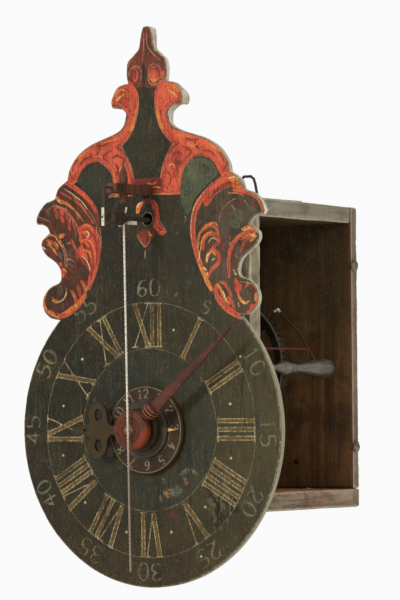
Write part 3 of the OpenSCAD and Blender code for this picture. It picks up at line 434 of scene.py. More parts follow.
STROKES = [
 ('P',2.2,[(-5.1,356.7),(-6.4,346),(-10.8,337.4),(-17.5,329.8),(-19.8,323.6)]),('D',3,[(-3,354.8),(-4.2,342.3),(-7.6,331.8),(-10.9,326.7)]),
 ('P',1.6,[(-2.5,352.9),(-2.6,340.4),(-4.3,328)]),('P',1.6,[(0.3,353.6),(1.3,342.8),(6.7,335.3),(15.3,328.5)]),
 ('D',3.2,[(1.4,355.3),(4.6,345.3),(11,337.7),(17.5,330.1)]),('K',1.6,[(3.5,343.6),(9.9,336.9),(18.6,330.1),(22.8,324.4)]),
 ('K',3.4,[(-2.7,326.1),(-2.3,317.1),(-2.9,306.4)]),('R',7.5,[(-12.1,321.4),(-12.2,312.4)]),('D',5,[(-13.2,320.5),(-13.2,315.2)]),
 ('P',1.6,[(-18.7,316.4),(-17.6,321.7),(-12,324.9),(-6.6,321.9),(-5.6,314.7),(-7.8,308.5)]),('R',10.5,[(8.1,320),(8.6,311.1)]),
 ('P',1.8,[(2.1,316.9),(3.3,323),(8.7,325.4),(14.1,322.3),(16.2,315.9),(14,309),(8.5,306.6),(3.1,309.6),(2.1,316.9)]),
 ('O',2.4,[(4.2,312.3),(9.7,311),(14,312.5)]),('R',5,[(18.4,317.6),(17.3,314.1)]),('P',1.2,[(-20.8,329.1),(-23.1,320.3),(-21,311.2)]),
 ('P',1.2,[(20.7,326.3),(22.8,317.3),(20.5,310.3)]),('O',3,[(22.6,303.1),(28,304.5),(33.4,302.4),(35.5,298.7)]),
 ('O',3,[(-22.6,303.1),(-28,304.5),(-33.4,302.4),(-35.5,298.7)]),('O',2.6,[(25.8,299.3),(30.1,297.3),(33.3,294.4)]),
 ('O',2.6,[(-25.8,299.3),(-30.1,297.3),(-33.3,294.4)]),('Y',1.4,[(23.7,301.2),(29.1,298.2),(32.3,296.3)]),
 ('Y',1.4,[(-23.7,301.2),(-29.1,298.2),(-32.3,296.3)]),('P',1.4,[(36.7,303.1),(38.7,296.8),(37.6,291.5)]),
 ('P',1.4,[(-36.7,303.1),(-38.7,296.8),(-37.6,291.5)]),('D',1.8,[(27.9,289.4),(35.4,290.7),(40.8,289.5)]),
 ('D',1.8,[(-27.9,289.4),(-35.4,290.7),(-40.8,289.5)]),('O',3.2,[(11.6,285.9),(12.6,278.7),(14.7,272.4),(17.9,266.9)]),
 ('O',3.2,[(-11.6,285.9),(-12.6,278.7),(-14.7,272.4),(-17.9,266.9)]),('P',1.5,[(9,296.8),(9.4,287.8),(11.5,277),(15.7,267),(22.2,258.6),(27.5,254.8)]),
 ('P',1.5,[(-9,296.8),(-9.4,287.8),(-11.5,277),(-15.7,267),(-22.2,258.6),(-27.5,254.8)]),
 ('D',1.8,[(23.5,285.2),(21.3,280.9),(23.4,274.6),(27.7,268.1),(36.2,264.1)]),
 ('D',1.8,[(-23.5,285.2),(-21.3,280.9),(-23.4,274.6),(-27.7,268.1),(-36.2,264.1)]),
 ('P',1.5,[(27.5,253.9),(24.2,247.9),(19.8,240.1),(16.5,232.2),(14.8,223.4)]),
 ('P',1.5,[(-27.5,253.9),(-24.2,247.9),(-19.8,240.1),(-16.5,232.2),(-14.8,223.4)]),('K',1.6,[(25.3,250.5),(31.8,255.5)]),
 ('K',1.6,[(-25.3,250.5),(-31.8,255.5)]),('K',1.4,[(28.5,249.4),(35.1,254.4)]),('K',1.4,[(-28.5,249.4),(-35.1,254.4)]),
 ('Y',1,[(26.4,251.3),(30.8,254.6)]),('Y',1,[(-26.4,251.3),(-30.8,254.6)]),('D',2.2,[(42.6,257.5),(49,255.4),(55.5,256)]),
 ('D',2.2,[(-42.6,257.5),(-49,255.4),(-55.5,256)]),('D',2,[(38.3,250.7),(43.6,248.6),(47.9,244.9),(42.5,240.7)]),
 ('D',2,[(-38.3,250.7),(-43.6,248.6),(-47.9,244.9),(-42.5,240.7)]),('K',1.6,[(52.2,254.4),(53.3,249.9),(56.4,247.1)]),
 ('K',1.6,[(-52.2,254.4),(-53.3,249.9),(-56.4,247.1)]),('O',1.6,[(42.6,254),(47.9,250.2),(54.4,251.6)]),
 ('O',1.6,[(-42.6,254),(-47.9,250.2),(-54.4,251.6)]),('O',2.4,[(66.1,251.9),(72.4,248),(77.7,244.2)]),
 ('O',2.4,[(-66.1,251.9),(-72.4,248),(-77.7,244.2)]),('D',1.8,[(74.5,246.2),(79.8,240.6),(82.9,234.3)]),
 ('D',1.8,[(-74.5,246.2),(-79.8,240.6),(-82.9,234.3)]),('Y',1.6,[(81.9,241.4),(84,238.7)]),('Y',1.6,[(-81.9,241.4),(-84,238.7)]),
 ('D',2.2,[(60.7,246),(68.1,244.7),(73.4,240.1)]),('D',2.2,[(-60.7,246),(-68.1,244.7),(-73.4,240.1)]),
 ('D',2.6,[(27.4,243.3),(32.8,245.6),(38.2,243.6)]),('D',2.6,[(-27.4,243.3),(-32.8,245.6),(-38.2,243.6)]),
 ('Y',1.4,[(25.2,234.5),(28.4,235.2),(30.5,231.6)]),('Y',1.4,[(-25.2,234.5),(-28.4,235.2),(-30.5,231.6)]),
 ('D',1.8,[(22.9,228.4),(26.1,222.9),(23.9,216.8)]),('D',1.8,[(-22.9,228.4),(-26.1,222.9),(-23.9,216.8)]),
 ('D',2.2,[(34.9,238.4),(31.6,233.3),(33.7,227.9)]),('D',2.2,[(-34.9,238.4),(-31.6,233.3),(-33.7,227.9)]),
 ('O',1.8,[(38.1,233),(35.8,225.1),(34.7,215.4)]),('O',1.8,[(-38.1,233),(-35.8,225.1),(-34.7,215.4)]),
 ('P',1.2,[(38,222.4),(39.1,229.4),(44.6,236.2),(51,239.9)]),('P',1.2,[(-38,222.4),(-39.1,229.4),(-44.6,236.2),(-51,239.9)]),
 ('D',1.6,[(80.7,225.6),(84.9,230.7),(86.1,235.9)]),('D',1.6,[(-80.7,225.6),(-84.9,230.7),(-86.1,235.9)]),
 ('O',1.6,[(29.8,261.8),(38.4,259.5),(46.9,258.2)]),('O',1.6,[(-29.8,261.8),(-38.4,259.5),(-46.9,258.2)]),('R',2.4,[(17.4,220.6),(17.4,212.6)]),
 ('R',2.6,[(3.2,212.4),(16.3,211.4),(34.6,210.1)]),('P',1.7,[(-20.9,210.3),(-7.7,210.2),(3.2,209.7),(16.2,209.1),(35.7,208.3)]),
 ('O',1.6,[(0,219.7),(5.5,218.5),(9.8,220.1)]),('O',1.4,[(3.2,215),(9.8,215.6),(14.1,214.6)]),('K',1.4,[(5.4,216.7),(12,217.3)]),
 ('R',2.2,[(-15.3,222.1),(-8.7,222.3),(-1,221.5)]),('K',1.6,[(-7.6,217.3),(-2.2,216.2)]),('P',3.4,[(-41.9,209),(-37.4,210.6),(-31.9,210.3)]),
 ('Y',1.3,[(-0.9,205.4),(-0.8,205.2)]),('Y',1.3,[(2.6,205.6),(2.7,205.4)]),('Y',1,[(-3.4,204.8),(-3.2,204.6)]),
 ('O',4,[(-11.2,193.4),(-10,199.6),(-5.6,202.5)]),('Y',1.6,[(-11.7,196.9),(-9.5,200.9),(-5.6,202.9)]),
 ('R',3.2,[(-9.5,194.2),(-8.9,197.7),(-5.6,201.2)]),('D',4.2,[(-4.5,202.5),(1,203.6),(5.3,201.6)]),
 ('R',4.4,[(4.2,203),(8.5,200.6),(10.7,194.3),(12.2,186.2)]),('D',1.6,[(8.4,192.5),(9.2,184.4),(11.8,178.6)]),
 ('P',2,[(13.3,185.3),(17,179.8),(20.2,175.7)]),('V',2,[(10.5,175.6),(13.7,175.9)]),('D',2.2,[(12.7,179.1),(17,176.2)]),
 ('P',1.6,[(-11.4,173.7),(-8.1,168.2),(-3.3,162.7)]),('R',2.4,[(-5.8,175.3),(-3.7,168.9),(-2.7,163.6)]),('R',1.8,[(-9.6,173.8),(-6.4,169.2)]),('O',1.3,[(1.4,176.6),(2.6,170.2)]),('O',1.2,[(15.4,176.2),(19.2,175)]),('P',1.2,[(3.9,174),(2.8,168.7),(-1.6,163.1)]),
 ('Y',1.6,[(2.3,174.1),(5,172.2)]),('Y',0.9,[(-2.8,160),(-2.8,152.9)]),('W',.9,[(31,173),(33.2,173.8)]),('W',.9,[(40.8,187.7),(41.9,185)]),
 ('W',1,[(39,219.6),(42.2,216)]),('W',.9,[(29.3,118.2),(31.5,120.8)]),('W',1,[(-60.8,-22.4),(-59.7,-23.3)]),('W',.9,[(43.4,131.1),(45.6,129.2)]),
 ('W',.8,[(42.4,233.7),(46.6,229.9),(44.4,226.5)]),
 ('R',5.6,[(91.2,224.3),(80.6,220.4),(72.1,214.6),(63.5,207.9),(57,202.1),(52.7,195.2),(49.9,187.3),(48.7,176.8),(49.7,166.2),(52.3,157.3),(55.4,148.3),(59.6,139.4),(63.7,131.4),(67.9,123.3)]),
 ('P',1.7,[(70,216.9),(62.5,210.6),(56,203.9),(50.6,196.2),(47.8,187.4),(46.8,176),(47.8,165.4),(50.7,155.6),(54.3,147.5)]),
 ('Y',1,[(57.1,205.6),(51.6,197.9),(48.3,189.2),(47.1,176.9),(48.1,166.2)]),('O',7.5,[(90.1,219.1),(97.4,217.8)]),
 ('O',5.5,[(94.2,212.7),(101.6,214.1)]),('Y',2.2,[(88,220),(94.3,220.6),(100.6,217.7)]),('R',2.4,[(89,214.7),(95.3,210.1)]),
 ('R',1.8,[(105.8,212.2),(99.4,209)]),('D',2.4,[(80.5,213.3),(86.9,215.7),(90,212.9)]),
 ('R',5.4,[(93.1,209.3),(102.6,208.4),(110.9,206.3),(117.2,203),(121.3,197.6),(123.8,191.4),(124.3,186.1)]),
 ('P',1.4,[(105.7,209.6),(115.1,206.6),(121.3,201.1),(124.9,193.9),(126.4,187.8)]),
 ('P',1.3,[(77,181.9),(78.1,188.9),(81.4,194),(86.7,198.2),(92,201),(96.2,202.1)]),('O',1.4,[(86.8,206.9),(95.2,206.6),(102.5,204.5)]),
 ('D',1.8,[(99.3,200.3),(102.4,195.7)]),('P',1.4,[(103.5,200.1),(107.7,194.7)]),('D',2.2,[(110.9,199.8),(115,193.5)]),
 ('P',1.4,[(89.8,196.3),(94,192.2)]),('D',1.6,[(95.1,198.7),(98.2,194.2)]),('G',9,[(95,189.9),(102.3,184.4)]),('G',8,[(90.7,181.3),(97,177.6)]),
 ('G',7,[(109.7,192.8),(114.9,189.1)]),('D',3.4,[(122.2,188),(117,184.7),(113.8,180.4)]),('V',4.6,[(82.3,181.7),(84.3,171.1),(85.2,160.5)]),
 ('O',2.8,[(53.9,159.9),(54.5,166.9),(56.7,173),(61,177.7),(66.4,180.5),(71.7,181.2),(75.9,178.4)]),
 ('R',2.4,[(59.9,174.6),(65.3,178.4),(70.6,178.6),(74.8,174.9),(76.4,170.5)]),('B',4,[(65.3,174.4),(71.6,175.1)]),
 ('R',3.2,[(59.8,157.9),(60.4,165.8),(63.6,170.1),(68.4,171.7),(73.7,170.6),(77.4,166.9),(75.7,163.5),(71.5,161),(68.3,157.6)]),
 ('O',2.6,[(57.1,161.5),(59.9,168.5),(64.2,172.3),(69.5,173.4)]),('Y',2,[(65.1,163.9),(68.4,167.7),(72.6,167.6),(75.2,165.7)]),
 ('D',2.2,[(66.2,161.2),(70.5,163.7),(73.6,164.4)]),('Y',1.4,[(57.7,161.5),(56,154.5),(55.4,149.2)]),
 ('P',1.4,[(54.4,156.3),(54.9,164.2),(56.7,170.3)]),
 ('R',3.6,[(63.4,147.2),(64.5,153.3),(67.7,156.3),(71.4,157),(74.6,154.7),(76.7,150.3),(75.6,145.9),(71.3,142.6),(67,138.3),(64.8,134)]),
 ('Y',3.2,[(63.7,148.1),(64,152),(66.6,155)]),('O',3,[(67.2,156.8),(70.4,155.8),(72.5,153.1)]),('Y',1.8,[(69.2,148.8),(72.4,150.4)]),
 ('Y',2.2,[(59.6,142.9),(62.8,140.2)]),('Y',1.8,[(63.8,138.4),(64.8,134.8)]),('O',5,[(56.4,143.9),(60.6,135.9),(64.8,127.8),(67.9,122.5)]),
 ('P',1.4,[(56.5,151),(58.6,145.6)]),('V',3.6,[(81,163.3),(81.9,150.1),(82.9,137.8),(85.9,127.2),(88,120.2)]),
 ('D',1.6,[(86.4,175.4),(85.3,164.9),(85.1,152.6)]),('D',2.2,[(77.9,169.6),(80,163.3),(78.9,157.2)]),('P',1.2,[(88.5,169.2),(87.3,160.4)]),
 ('R',6.2,[(73.2,125.8),(73.2,119.7),(76.3,113.5),(83.6,106.7),(92,101.2),(99.3,98)]),('O',3.6,[(74.3,127.5),(78.5,122.2),(81.6,115.1),(86.8,109.7)]),
 ('Y',2.6,[(80.1,121.2),(82.6,115.9),(84.7,111.9)]),('P',1.4,[(71.1,124.1),(72.6,117.1),(78.3,110.3),(86.7,103.6)]),
 ('R',3,[(77.5,129.2),(81.7,128.2),(83.8,125.5)]),('R',3.2,[(82.7,126.4),(86.9,121.9),(89.5,115.7)]),('R',3.2,[(85.8,115.8),(90,110.5),(92,106.1)]),
 ('R',3.8,[(113.7,174.3),(106.4,172.9),(100.1,169.6),(93.7,164.6),(89.4,158.6),(87.2,150.8),(86.6,141.2),(87,133.3)]),
 ('P',1.2,[(102.2,172.2),(94.8,168.1),(89.5,162.1),(86.2,154.4),(85,143.9)]),
 ('R',3,[(115.8,171.7),(110.5,168.8),(105.2,165.1),(101.5,160),(99.4,154.8)]),('O',4,[(101.2,174.4),(107.5,176.3),(113.7,175.7),(118.4,171.6)]),
 ('Y',2.2,[(103.2,173.9),(108.5,175.4)]),('Y',3.2,[(110.5,169.2),(115.7,168.2)]),('O',3.4,[(109.4,164),(114.7,167.3)]),
 ('O',2.2,[(100,165.3),(105.3,168.6),(109.5,171)]),('D',2,[(94.7,161.9),(92.5,155),(93.5,148)]),('P',1.2,[(92.5,153.3),(96.7,149.6)]),
 ('D',2.6,[(93.5,146.2),(94.5,141)]),('Y',2.4,[(92.9,136.6),(94.9,134.8)]),('Y',1.4,[(91.3,139.3),(93.4,138.4)]),('D',2.6,[(104.1,159),(110.4,162.3)]),
 ('R',6,[(93.9,130.5),(95.4,124.3),(96.4,119.1)]),('D',2.2,[(92.2,127.9),(93.2,123.5)]),
 ('O',3.6,[(96.3,117.3),(99.4,112.9),(103.6,110.1),(107.8,111.8)]),('Y',2.4,[(99.4,112),(103.1,109.7)]),('Y',1.4,[(96.3,110.3),(97.3,106.8)]),
 ('G',5,[(91,113.1),(93.1,109.5)]),('P',1.3,[(98.6,129),(108,127.5),(115.2,122.9),(119.8,116.7)]),
 ('D',4.6,[(102.7,125.9),(110,123.9),(116.2,118.5),(118.7,112.4)]),('R',5,[(118.2,111.5),(115,106.4),(108.7,102.2),(102.4,98.8)]),
 ('D',4,[(101.4,101.5),(108.7,98.7),(115,102)]),('O',5,[(115.2,117.7),(115.1,111.6)]),('R',6,[(109.8,107.4),(115,104.6)]),
 ('V',5,[(105.8,120.5),(108.9,114.4)]),('P',2.2,[(103.7,124.1),(106.9,126.2)]),('R',2.2,[(99.1,126.8),(99.5,121.6)]),
 ('P',1.3,[(87.8,102.2),(96.1,97.2),(103.4,95.7)]),
 ('R',4.6,[(-89.8,223.8),(-82,219.8),(-74.2,214.9),(-66.4,209.1),(-60.8,202.6),(-56.4,196.1),(-54.3,187.9)]),
 ('D',3.4,[(-56.4,196.1),(-53.7,187),(-52.7,177.9)]),('V',3,[(-55.3,194.2),(-54.3,187)]),
 ('Y',1.3,[(-92.1,218.4),(-85.4,214.9),(-78.7,210.6),(-72,205.8),(-66.5,199.2)]),('P',1.3,[(-72,205.8),(-64.2,197.3),(-58.7,189.9),(-55.5,181.6)]),
 ('P',1.2,[(-83.2,212.6),(-75.4,205.9),(-69.8,198.4),(-67.1,193.8)]),('O',4.2,[(-101.2,211.5),(-96.8,206.8)]),('Y',2,[(-100.1,208.8),(-96.8,207.3)]),
 ('D',3,[(-100.1,215.1),(-94.5,211.3),(-85.5,205.4)]),('D',2.4,[(-94.4,217.6),(-86.5,212.7),(-79.9,206.1)]),
 ('O',2.2,[(-96.8,205.9),(-90,204.7),(-83.3,199.9)]),('P',1.2,[(-85.5,201.8),(-79.9,197.9),(-75.5,190.5)]),
 ('D',2.6,[(-84.4,200.8),(-78.8,195.2),(-76.6,188.8)]),('V',4,[(-104.7,205.3),(-100.2,203.3)]),('R',3.4,[(-102.5,201.6),(-100.3,192.4)]),
 ('R',4.6,[(-95.7,198.6),(-93.5,188.5)]),('R',2.4,[(-90,201.1),(-89,191.1)]),('D',2,[(-107,200.9),(-106,192.6)]),
 ('G',4,[(-111.6,200.2),(-109.4,193.7)]),('G',3,[(-98,197.8),(-98,192.3)]),
 ('P',1.6,[(-112.7,198.4),(-103.6,203.5),(-94.6,201.3),(-87.8,197.4),(-82.2,190.8),(-77.8,183.4)]),
 ('P',1.4,[(-90.1,198.4),(-84.5,191.8),(-81.2,183.5),(-79,175.3)]),('R',3,[(-86.7,191),(-86.3,181)]),('D',1.8,[(-82.2,190.8),(-80.1,182.6)]),
 ('D',3.2,[(-110.5,189.2),(-106,183.6),(-102.7,179.8)]),('P',1.2,[(-121.9,194.2),(-115.1,192.1),(-108.3,189.1)]),
 ('P',1.6,[(-119.5,202.3),(-121.9,195.1)]),('D',2,[(-121.8,199.7),(-112.7,202)]),('D',2.4,[(-119.6,191.4),(-111.7,190.6)]),
 ('O',6,[(-97,176.4),(-95.9,175)]),('R',5,[(-94.8,175.9),(-92.5,176.7)]),
 ('D',1.8,[(-72.2,180.5),(-65.5,181.1),(-62.2,175.6),(-65.6,171.2),(-71.2,173.2)]),('Y',1.2,[(-70.6,177.7),(-66.7,178.9),(-64.4,175.7),(-67.8,173.5)]),
 ('O',1.8,[(-73.5,170.1),(-69,171.8),(-63.4,169.8),(-61.2,165.6)]),('D',2.4,[(-71.2,168.2),(-67.9,164.5),(-63.5,162.1)]),
 ('K',1.4,[(-70.1,166.8),(-66.8,164)]),('O',1.8,[(-75.8,160.3),(-70.2,162.3),(-64.6,159.9),(-62.4,155.8)]),
 ('Y',1.8,[(-72.5,157),(-68,153.2),(-64.7,147.3),(-63.6,143.2)]),('K',2,[(-73.6,155.7),(-69.2,151.5),(-65.8,146.8)]),
 ('D',2,[(-62.2,178.3),(-57.8,170.9),(-56.8,161.9)]),('D',1.6,[(-60.2,154.8),(-59.2,145.7)]),('O',2,[(-70,184.9),(-64.4,183.8),(-59.9,179.1)]),
 ('P',1.6,[(-56.6,181.7),(-55,172.6)]),('P',1.2,[(-52.7,181.5),(-51.1,170.7),(-51.8,158.1)]),('P',1.8,[(-61.5,132.3),(-59.2,138.5)]),
 ('P',1.2,[(-68.3,124.4),(-63.8,131.5)]),('P',2.2,[(-89.2,168.4),(-84.7,169.6),(-81.4,165.4)]),('V',2.2,[(-88.1,162),(-82.5,160.9)]),
 ('P',2,[(-89.3,154.8),(-84.8,154.2),(-81.5,151.9)]),('D',2.6,[(-87.2,145.7),(-80.5,141.9)]),('D',2.4,[(-89.5,138.5),(-86.1,135.7)]),
 ('G',3.4,[(-87,159.3),(-82.6,156.4)]),('G',3,[(-86,150.2),(-82.7,147.4)]),
 ('P',1.8,[(-104.9,180.8),(-100.4,175.6),(-95.4,169.5),(-91.5,163.1),(-89.3,155.7),(-89.4,146.7)]),
 ('O',2.4,[(-103.8,176.2),(-99.4,171.5),(-94.9,165.9)]),('P',1.2,[(-100.5,172.4),(-94.9,165),(-92.1,157.6),(-91.7,148.6)]),
 ('O',2.4,[(-115.2,173.9),(-108.4,177.3),(-101.6,175.2)]),('O',2,[(-111.9,169.2),(-106.2,165.4),(-101.7,160.7)]),
 ('Y',2.6,[(-117.6,166.7),(-114.2,164.7)]),('Y',1.8,[(-110.7,171),(-107.3,168.1)]),('Y',2,[(-102.8,170.7),(-99.4,166.5)]),
 ('D',3.4,[(-117.5,171.2),(-114.1,168.4)]),('D',3.2,[(-113,163.8),(-107.4,160.9),(-101.8,156.1)]),('R',2.6,[(-105.1,164.4),(-100.6,158.8)]),
 ('G',3.4,[(-98.3,161.5),(-96.1,155)]),('R',4.6,[(-97.3,150.5),(-96.2,149.2)]),('R',5.4,[(-95.1,145),(-94,139.6)]),
 ('D',3,[(-91.7,146.7),(-90.6,138.6)]),('O',1.8,[(-93.9,146.8),(-90.6,143.1)]),('D',2.6,[(-101.8,154.3),(-98.4,147.9)]),
 ('O',3.4,[(-96.3,135.1),(-105.4,132.2),(-112.2,127.4),(-115.7,120.2),(-115.8,113.8),(-112.4,108.3),(-105.6,104),(-98.9,101.6)]),
 ('Y',1.6,[(-100.8,133.4),(-109.9,129.1),(-114.6,122)]),('D',2.4,[(-108.8,131.8),(-115.7,125.7)]),('R',3,[(-109,108.2),(-103.4,104.4)]),
 ('V',7,[(-97.5,128.8),(-97.5,123.3)]),('V',4,[(-94.2,114.2),(-95.4,109.7)]),('P',1.4,[(-90.7,128.6),(-90.8,123.2),(-94.2,118.7)]),
 ('Y',2,[(-90.2,125.9),(-91.9,120.5),(-96.5,117),(-102.1,115.8),(-106.6,117.7)]),('O',1.6,[(-106.6,120.9),(-104.4,118.1),(-99.9,117.1)]),
 ('R',6.4,[(-100,102.6),(-90.9,105.1),(-81.9,110.3),(-74,116.4),(-69.4,121.7)]),('O',3.6,[(-90.9,106),(-81.9,111.2),(-72.8,118.2),(-68.3,126.2)]),
 ('R',3.6,[(-85.1,125.7),(-81.2,121.1),(-79.6,114.7)]),('R',3.4,[(-77.7,131),(-76.1,126.4),(-75,120)]),
 ('R',3.4,[(-73.8,134.5),(-69.9,129.8),(-69.4,123.5)]),('O',1.4,[(-72.7,132.6),(-69.4,127.1)]),('O',1.4,[(-84,123.9),(-80.7,119.3)]),
 ('Y',1.2,[(-67.1,129.8),(-68.3,124.4)]),('D',2.4,[(-90.8,117.7),(-88.6,112.2)]),('P',1.8,[(-101.1,106.2),(-97.7,102.5)]),
 ('D',2.2,[(-72,176),(-66,170),(-61,160),(-60,148),(-63,136)]),('D',2,[(-69,182),(-60,176),(-56,165),(-56.5,152)]),
 ('K',1.4,[(-73,168),(-68,162),(-65,152),(-66,142)]),('D',2,[(-66,160),(-63,150),(-64,140)]),('D',1.8,[(-72,187),(-63,186),(-56,179)]),
 ('R',2.2,[(-96.6,215.5),(-85.2,210.2),(-73.8,202.7),(-65.3,194.1),(-59.6,185.7)]),('O',1.5,[(-99,210),(-88,204.6),(-78,196.5),(-71,188)]),
 ('R',2.4,[(-104,204),(-94,199.6),(-84,192),(-78,184),(-75,176)]),('D',2,[(-92,214.5),(-80,208.5),(-69,199.6),(-61,189.5)]),
 ('D',2,[(-108,199),(-97,195.5),(-88,188),(-83,180),(-80,171)]),('R',2.8,[(-113,172.5),(-106,170.5),(-100,164.5)]),
 ('D',2.2,[(70,208),(80,214),(92,217),(103,213)]),('K',1.2,[(66,203),(76,210),(88,214.2)]),('O',1.7,[(84,219.5),(94,219.8),(104,214.6)]),
 ('D',2,[(-88,176),(-83,166),(-80,156),(-80,146)]),('R',2,[(-84,172),(-79.5,163),(-78,153)]),('D',2,[(-86,140),(-79,133),(-74,126)]),
 ('Q',5,[(16.7,-55.9),(21,-58.5)]),('W',3,[(11.3,-58.6),(12.4,-63)]),('W',6,[(22,-54.1),(30,-56.8)]),('Q',3.6,[(37.3,-41.7),(40.5,-47.8)]),
 ('W',4,[(29.7,-50.5),(34,-54.9)]),('W',5,[(33.1,-39.1),(41.7,-35.5)]),('W',3.6,[(46,-35.5),(50.2,-39)]),('H',8,[(25.2,-73.5),(29.4,-79.6)]),
 ('H',4,[(22,-72.6),(23,-77.9)]),('H',2.6,[(-51.1,-59.1),(-48.9,-60.9)]),('W',2.4,[(-60.7,-19.7),(-59.7,-23.3)]),('W',2.6,[(14.7,-42.7),(15.8,-46.2)]),
]

N1, N2, N3, DOTS = [], [], [], []


def polar(a, r, u):
    """Point at clock angle a (degrees clockwise from twelve), radius r, shifted u clockwise."""
    s, c = math.sin(math.radians(a)), math.cos(math.radians(a))
    return (r * s + u * c, r * c - u * s)


def glyph(a, u, kind, w, r0=73.6, r1=112.4):
    """One Roman stroke group centred u mm clockwise of the hour's middle line, feet towards the centre."""
    def L(out, width, u0, v0, u1, v1):
        out.append((width, [polar(a, r0 + (r1 - r0) * (v0 + (v1 - v0) * t), u + u0 + (u1 - u0) * t) for t in np.linspace(0, 1, 5)]))
    def bar(u0, v0, u1, v1, width):
        L(N1, width, u0, v0, u1, v1)
        for s in (-1, 1):
            L(N2, .75, u0 + s * width / 2, v0, u1 + s * width / 2, v1)
    if kind == "I":
        bar(0, .03, 0, .97, 3.4)
        ends = [(0, 0), (0, 1)]
    elif kind == "V":
        bar(-w * .46, .97, -w * .02, .03, 4.2)
        L(N2, .9, w * .46, .97, w * .06, .03)
        ends = [(-w * .46, 1), (w * .46, 1)]
    else:
        bar(-w * .44, .97, w * .44, .03, 4.0)
        L(N2, .9, w * .44, .97, -w * .44, .03)
        ends = [(-w * .44, 1), (w * .44, 1), (-w * .44, 0), (w * .44, 0)]
    for eu, ev in ends:
        L(N2, .8, eu - 3.4, ev, eu + 3.4, ev)


ROMAN = ["XII", "I", "II", "III", "IIII", "V", "VI", "VII", "VIII", "IX", "X", "XI"]
for h, word in enumerate(ROMAN):
    wide = {"I": 7.6, "V": 14.5, "X": 16.0}
    total = sum(wide[c] for c in word)
    k = min(1.0, 34.0 / total)
    u = -total * k / 2
    for c in word:
        glyph(30 * h, u + wide[c] * k / 2, c, wide[c] * k)
        u += wide[c] * k

DIGIT = {
    "0": [[(.30, 1), (.10, .88), (.0, .5), (.10, .12), (.30, 0), (.50, .12), (.60, .5), (.50, .88), (.30, 1)]],
    "1": [[(.16, .82), (.32, 1), (.32, 0)], [(.14, 0), (.50, 0)]],
    "2": [[(.02, .74), (.10, .94), (.32, 1), (.52, .88), (.54, .66), (.36, .42), (.10, .16), (.02, .02)], [(.02, .02), (.22, .08), (.58, .0)]],
    "3": [[(.04, .86), (.24, 1), (.48, .92), (.50, .70), (.28, .54)], [(.28, .54), (.54, .42), (.56, .16), (.32, 0), (.04, .12)]],
    "4": [[(.42, 1), (.02, .34), (.60, .34)], [(.42, 1), (.42, 0)]],
    "5": [[(.54, 1), (.12, 1), (.08, .58), (.34, .62), (.56, .44), (.54, .16), (.30, 0), (.04, .10)]],
    "6": [[(.52, .92), (.24, .84), (.04, .46), (.08, .12), (.30, 0), (.52, .12), (.54, .36), (.32, .50), (.08, .36)]],
    "7": [[(.02, .98), (.56, .98), (.30, .5), (.20, 0)]],
    "8": [[(.30, .54), (.08, .70), (.12, .94), (.30, 1), (.50, .92), (.52, .70), (.30, .54), (.06, .34), (.08, .08), (.30, 0), (.54, .08), (.56, .32), (.30, .54)]],
    "9": [[(.54, .60), (.32, .48), (.08, .60), (.06, .86), (.30, 1), (.52, .88), (.54, .56), (.44, .20), (.16, .02)]]}


def number(text, a, r, size, width, out, wide=1.0, double=0):
    total = size * wide * (.62 * len(text) + .22 * (len(text) - 1))
    u = -total / 2
    for c in text:
        for P in DIGIT[c]:
            S = smooth(P, 4) if len(P) > 3 else np.array(P, float)
            for k, du in ((1, 0), (.8, double))[:2 if double else 1]:
                out.append((width * k, [polar(a, r + size * (v - .5), u + size * wide * x + du * (1 - abs(v - .5))) for x, v in S]))
        u += size * .84 * wide


for text, a, r in (("60", 0, 126.5), ("5", 30, 124), ("10", 62, 127.5), ("15", 91, 126), ("20", 120, 126), ("25", 150, 126),
                   ("30", 180, 126), ("35", 211, 126), ("40", 243, 128), ("45", 270, 129), ("50", 298, 128), ("55", 327, 129)):
    number(text, a, r, 11.5 if text == "5" else 15.5, {"50": 1.15, "55": .6}.get(text, .85), N3, 1.06, 1.7)
for r in (113.4, 72.4):
    N3.append((.6, [(r * math.sin(t), r * math.cos(t)) for t in np.linspace(0, 2 * math.pi, 200)]))
for x, z in ((27.4, 88.2), (97.8, 63.6), (86.9, 22.3), (87.4, -24.9), (59.5, -67.9), (23.2, -90.3), (54.8, -111.3), (-71.2, -65.1),
             (-94.5, 21.9), (-95.3, -22.7), (-25.7, -91.0), (-73.3, 63.8)):
    DOTS.append((2.3, [(x - .3, z), (x + .3, z)]))


def taper(s, w, soft):
    if not soft:
        return np.full_like(s, w / 2)
    return w / 2 * (.40 + .60 * np.sqrt(np.clip(np.sin(np.pi * np.clip(s * .92 + .05, 0, 1)), 0, 1)))


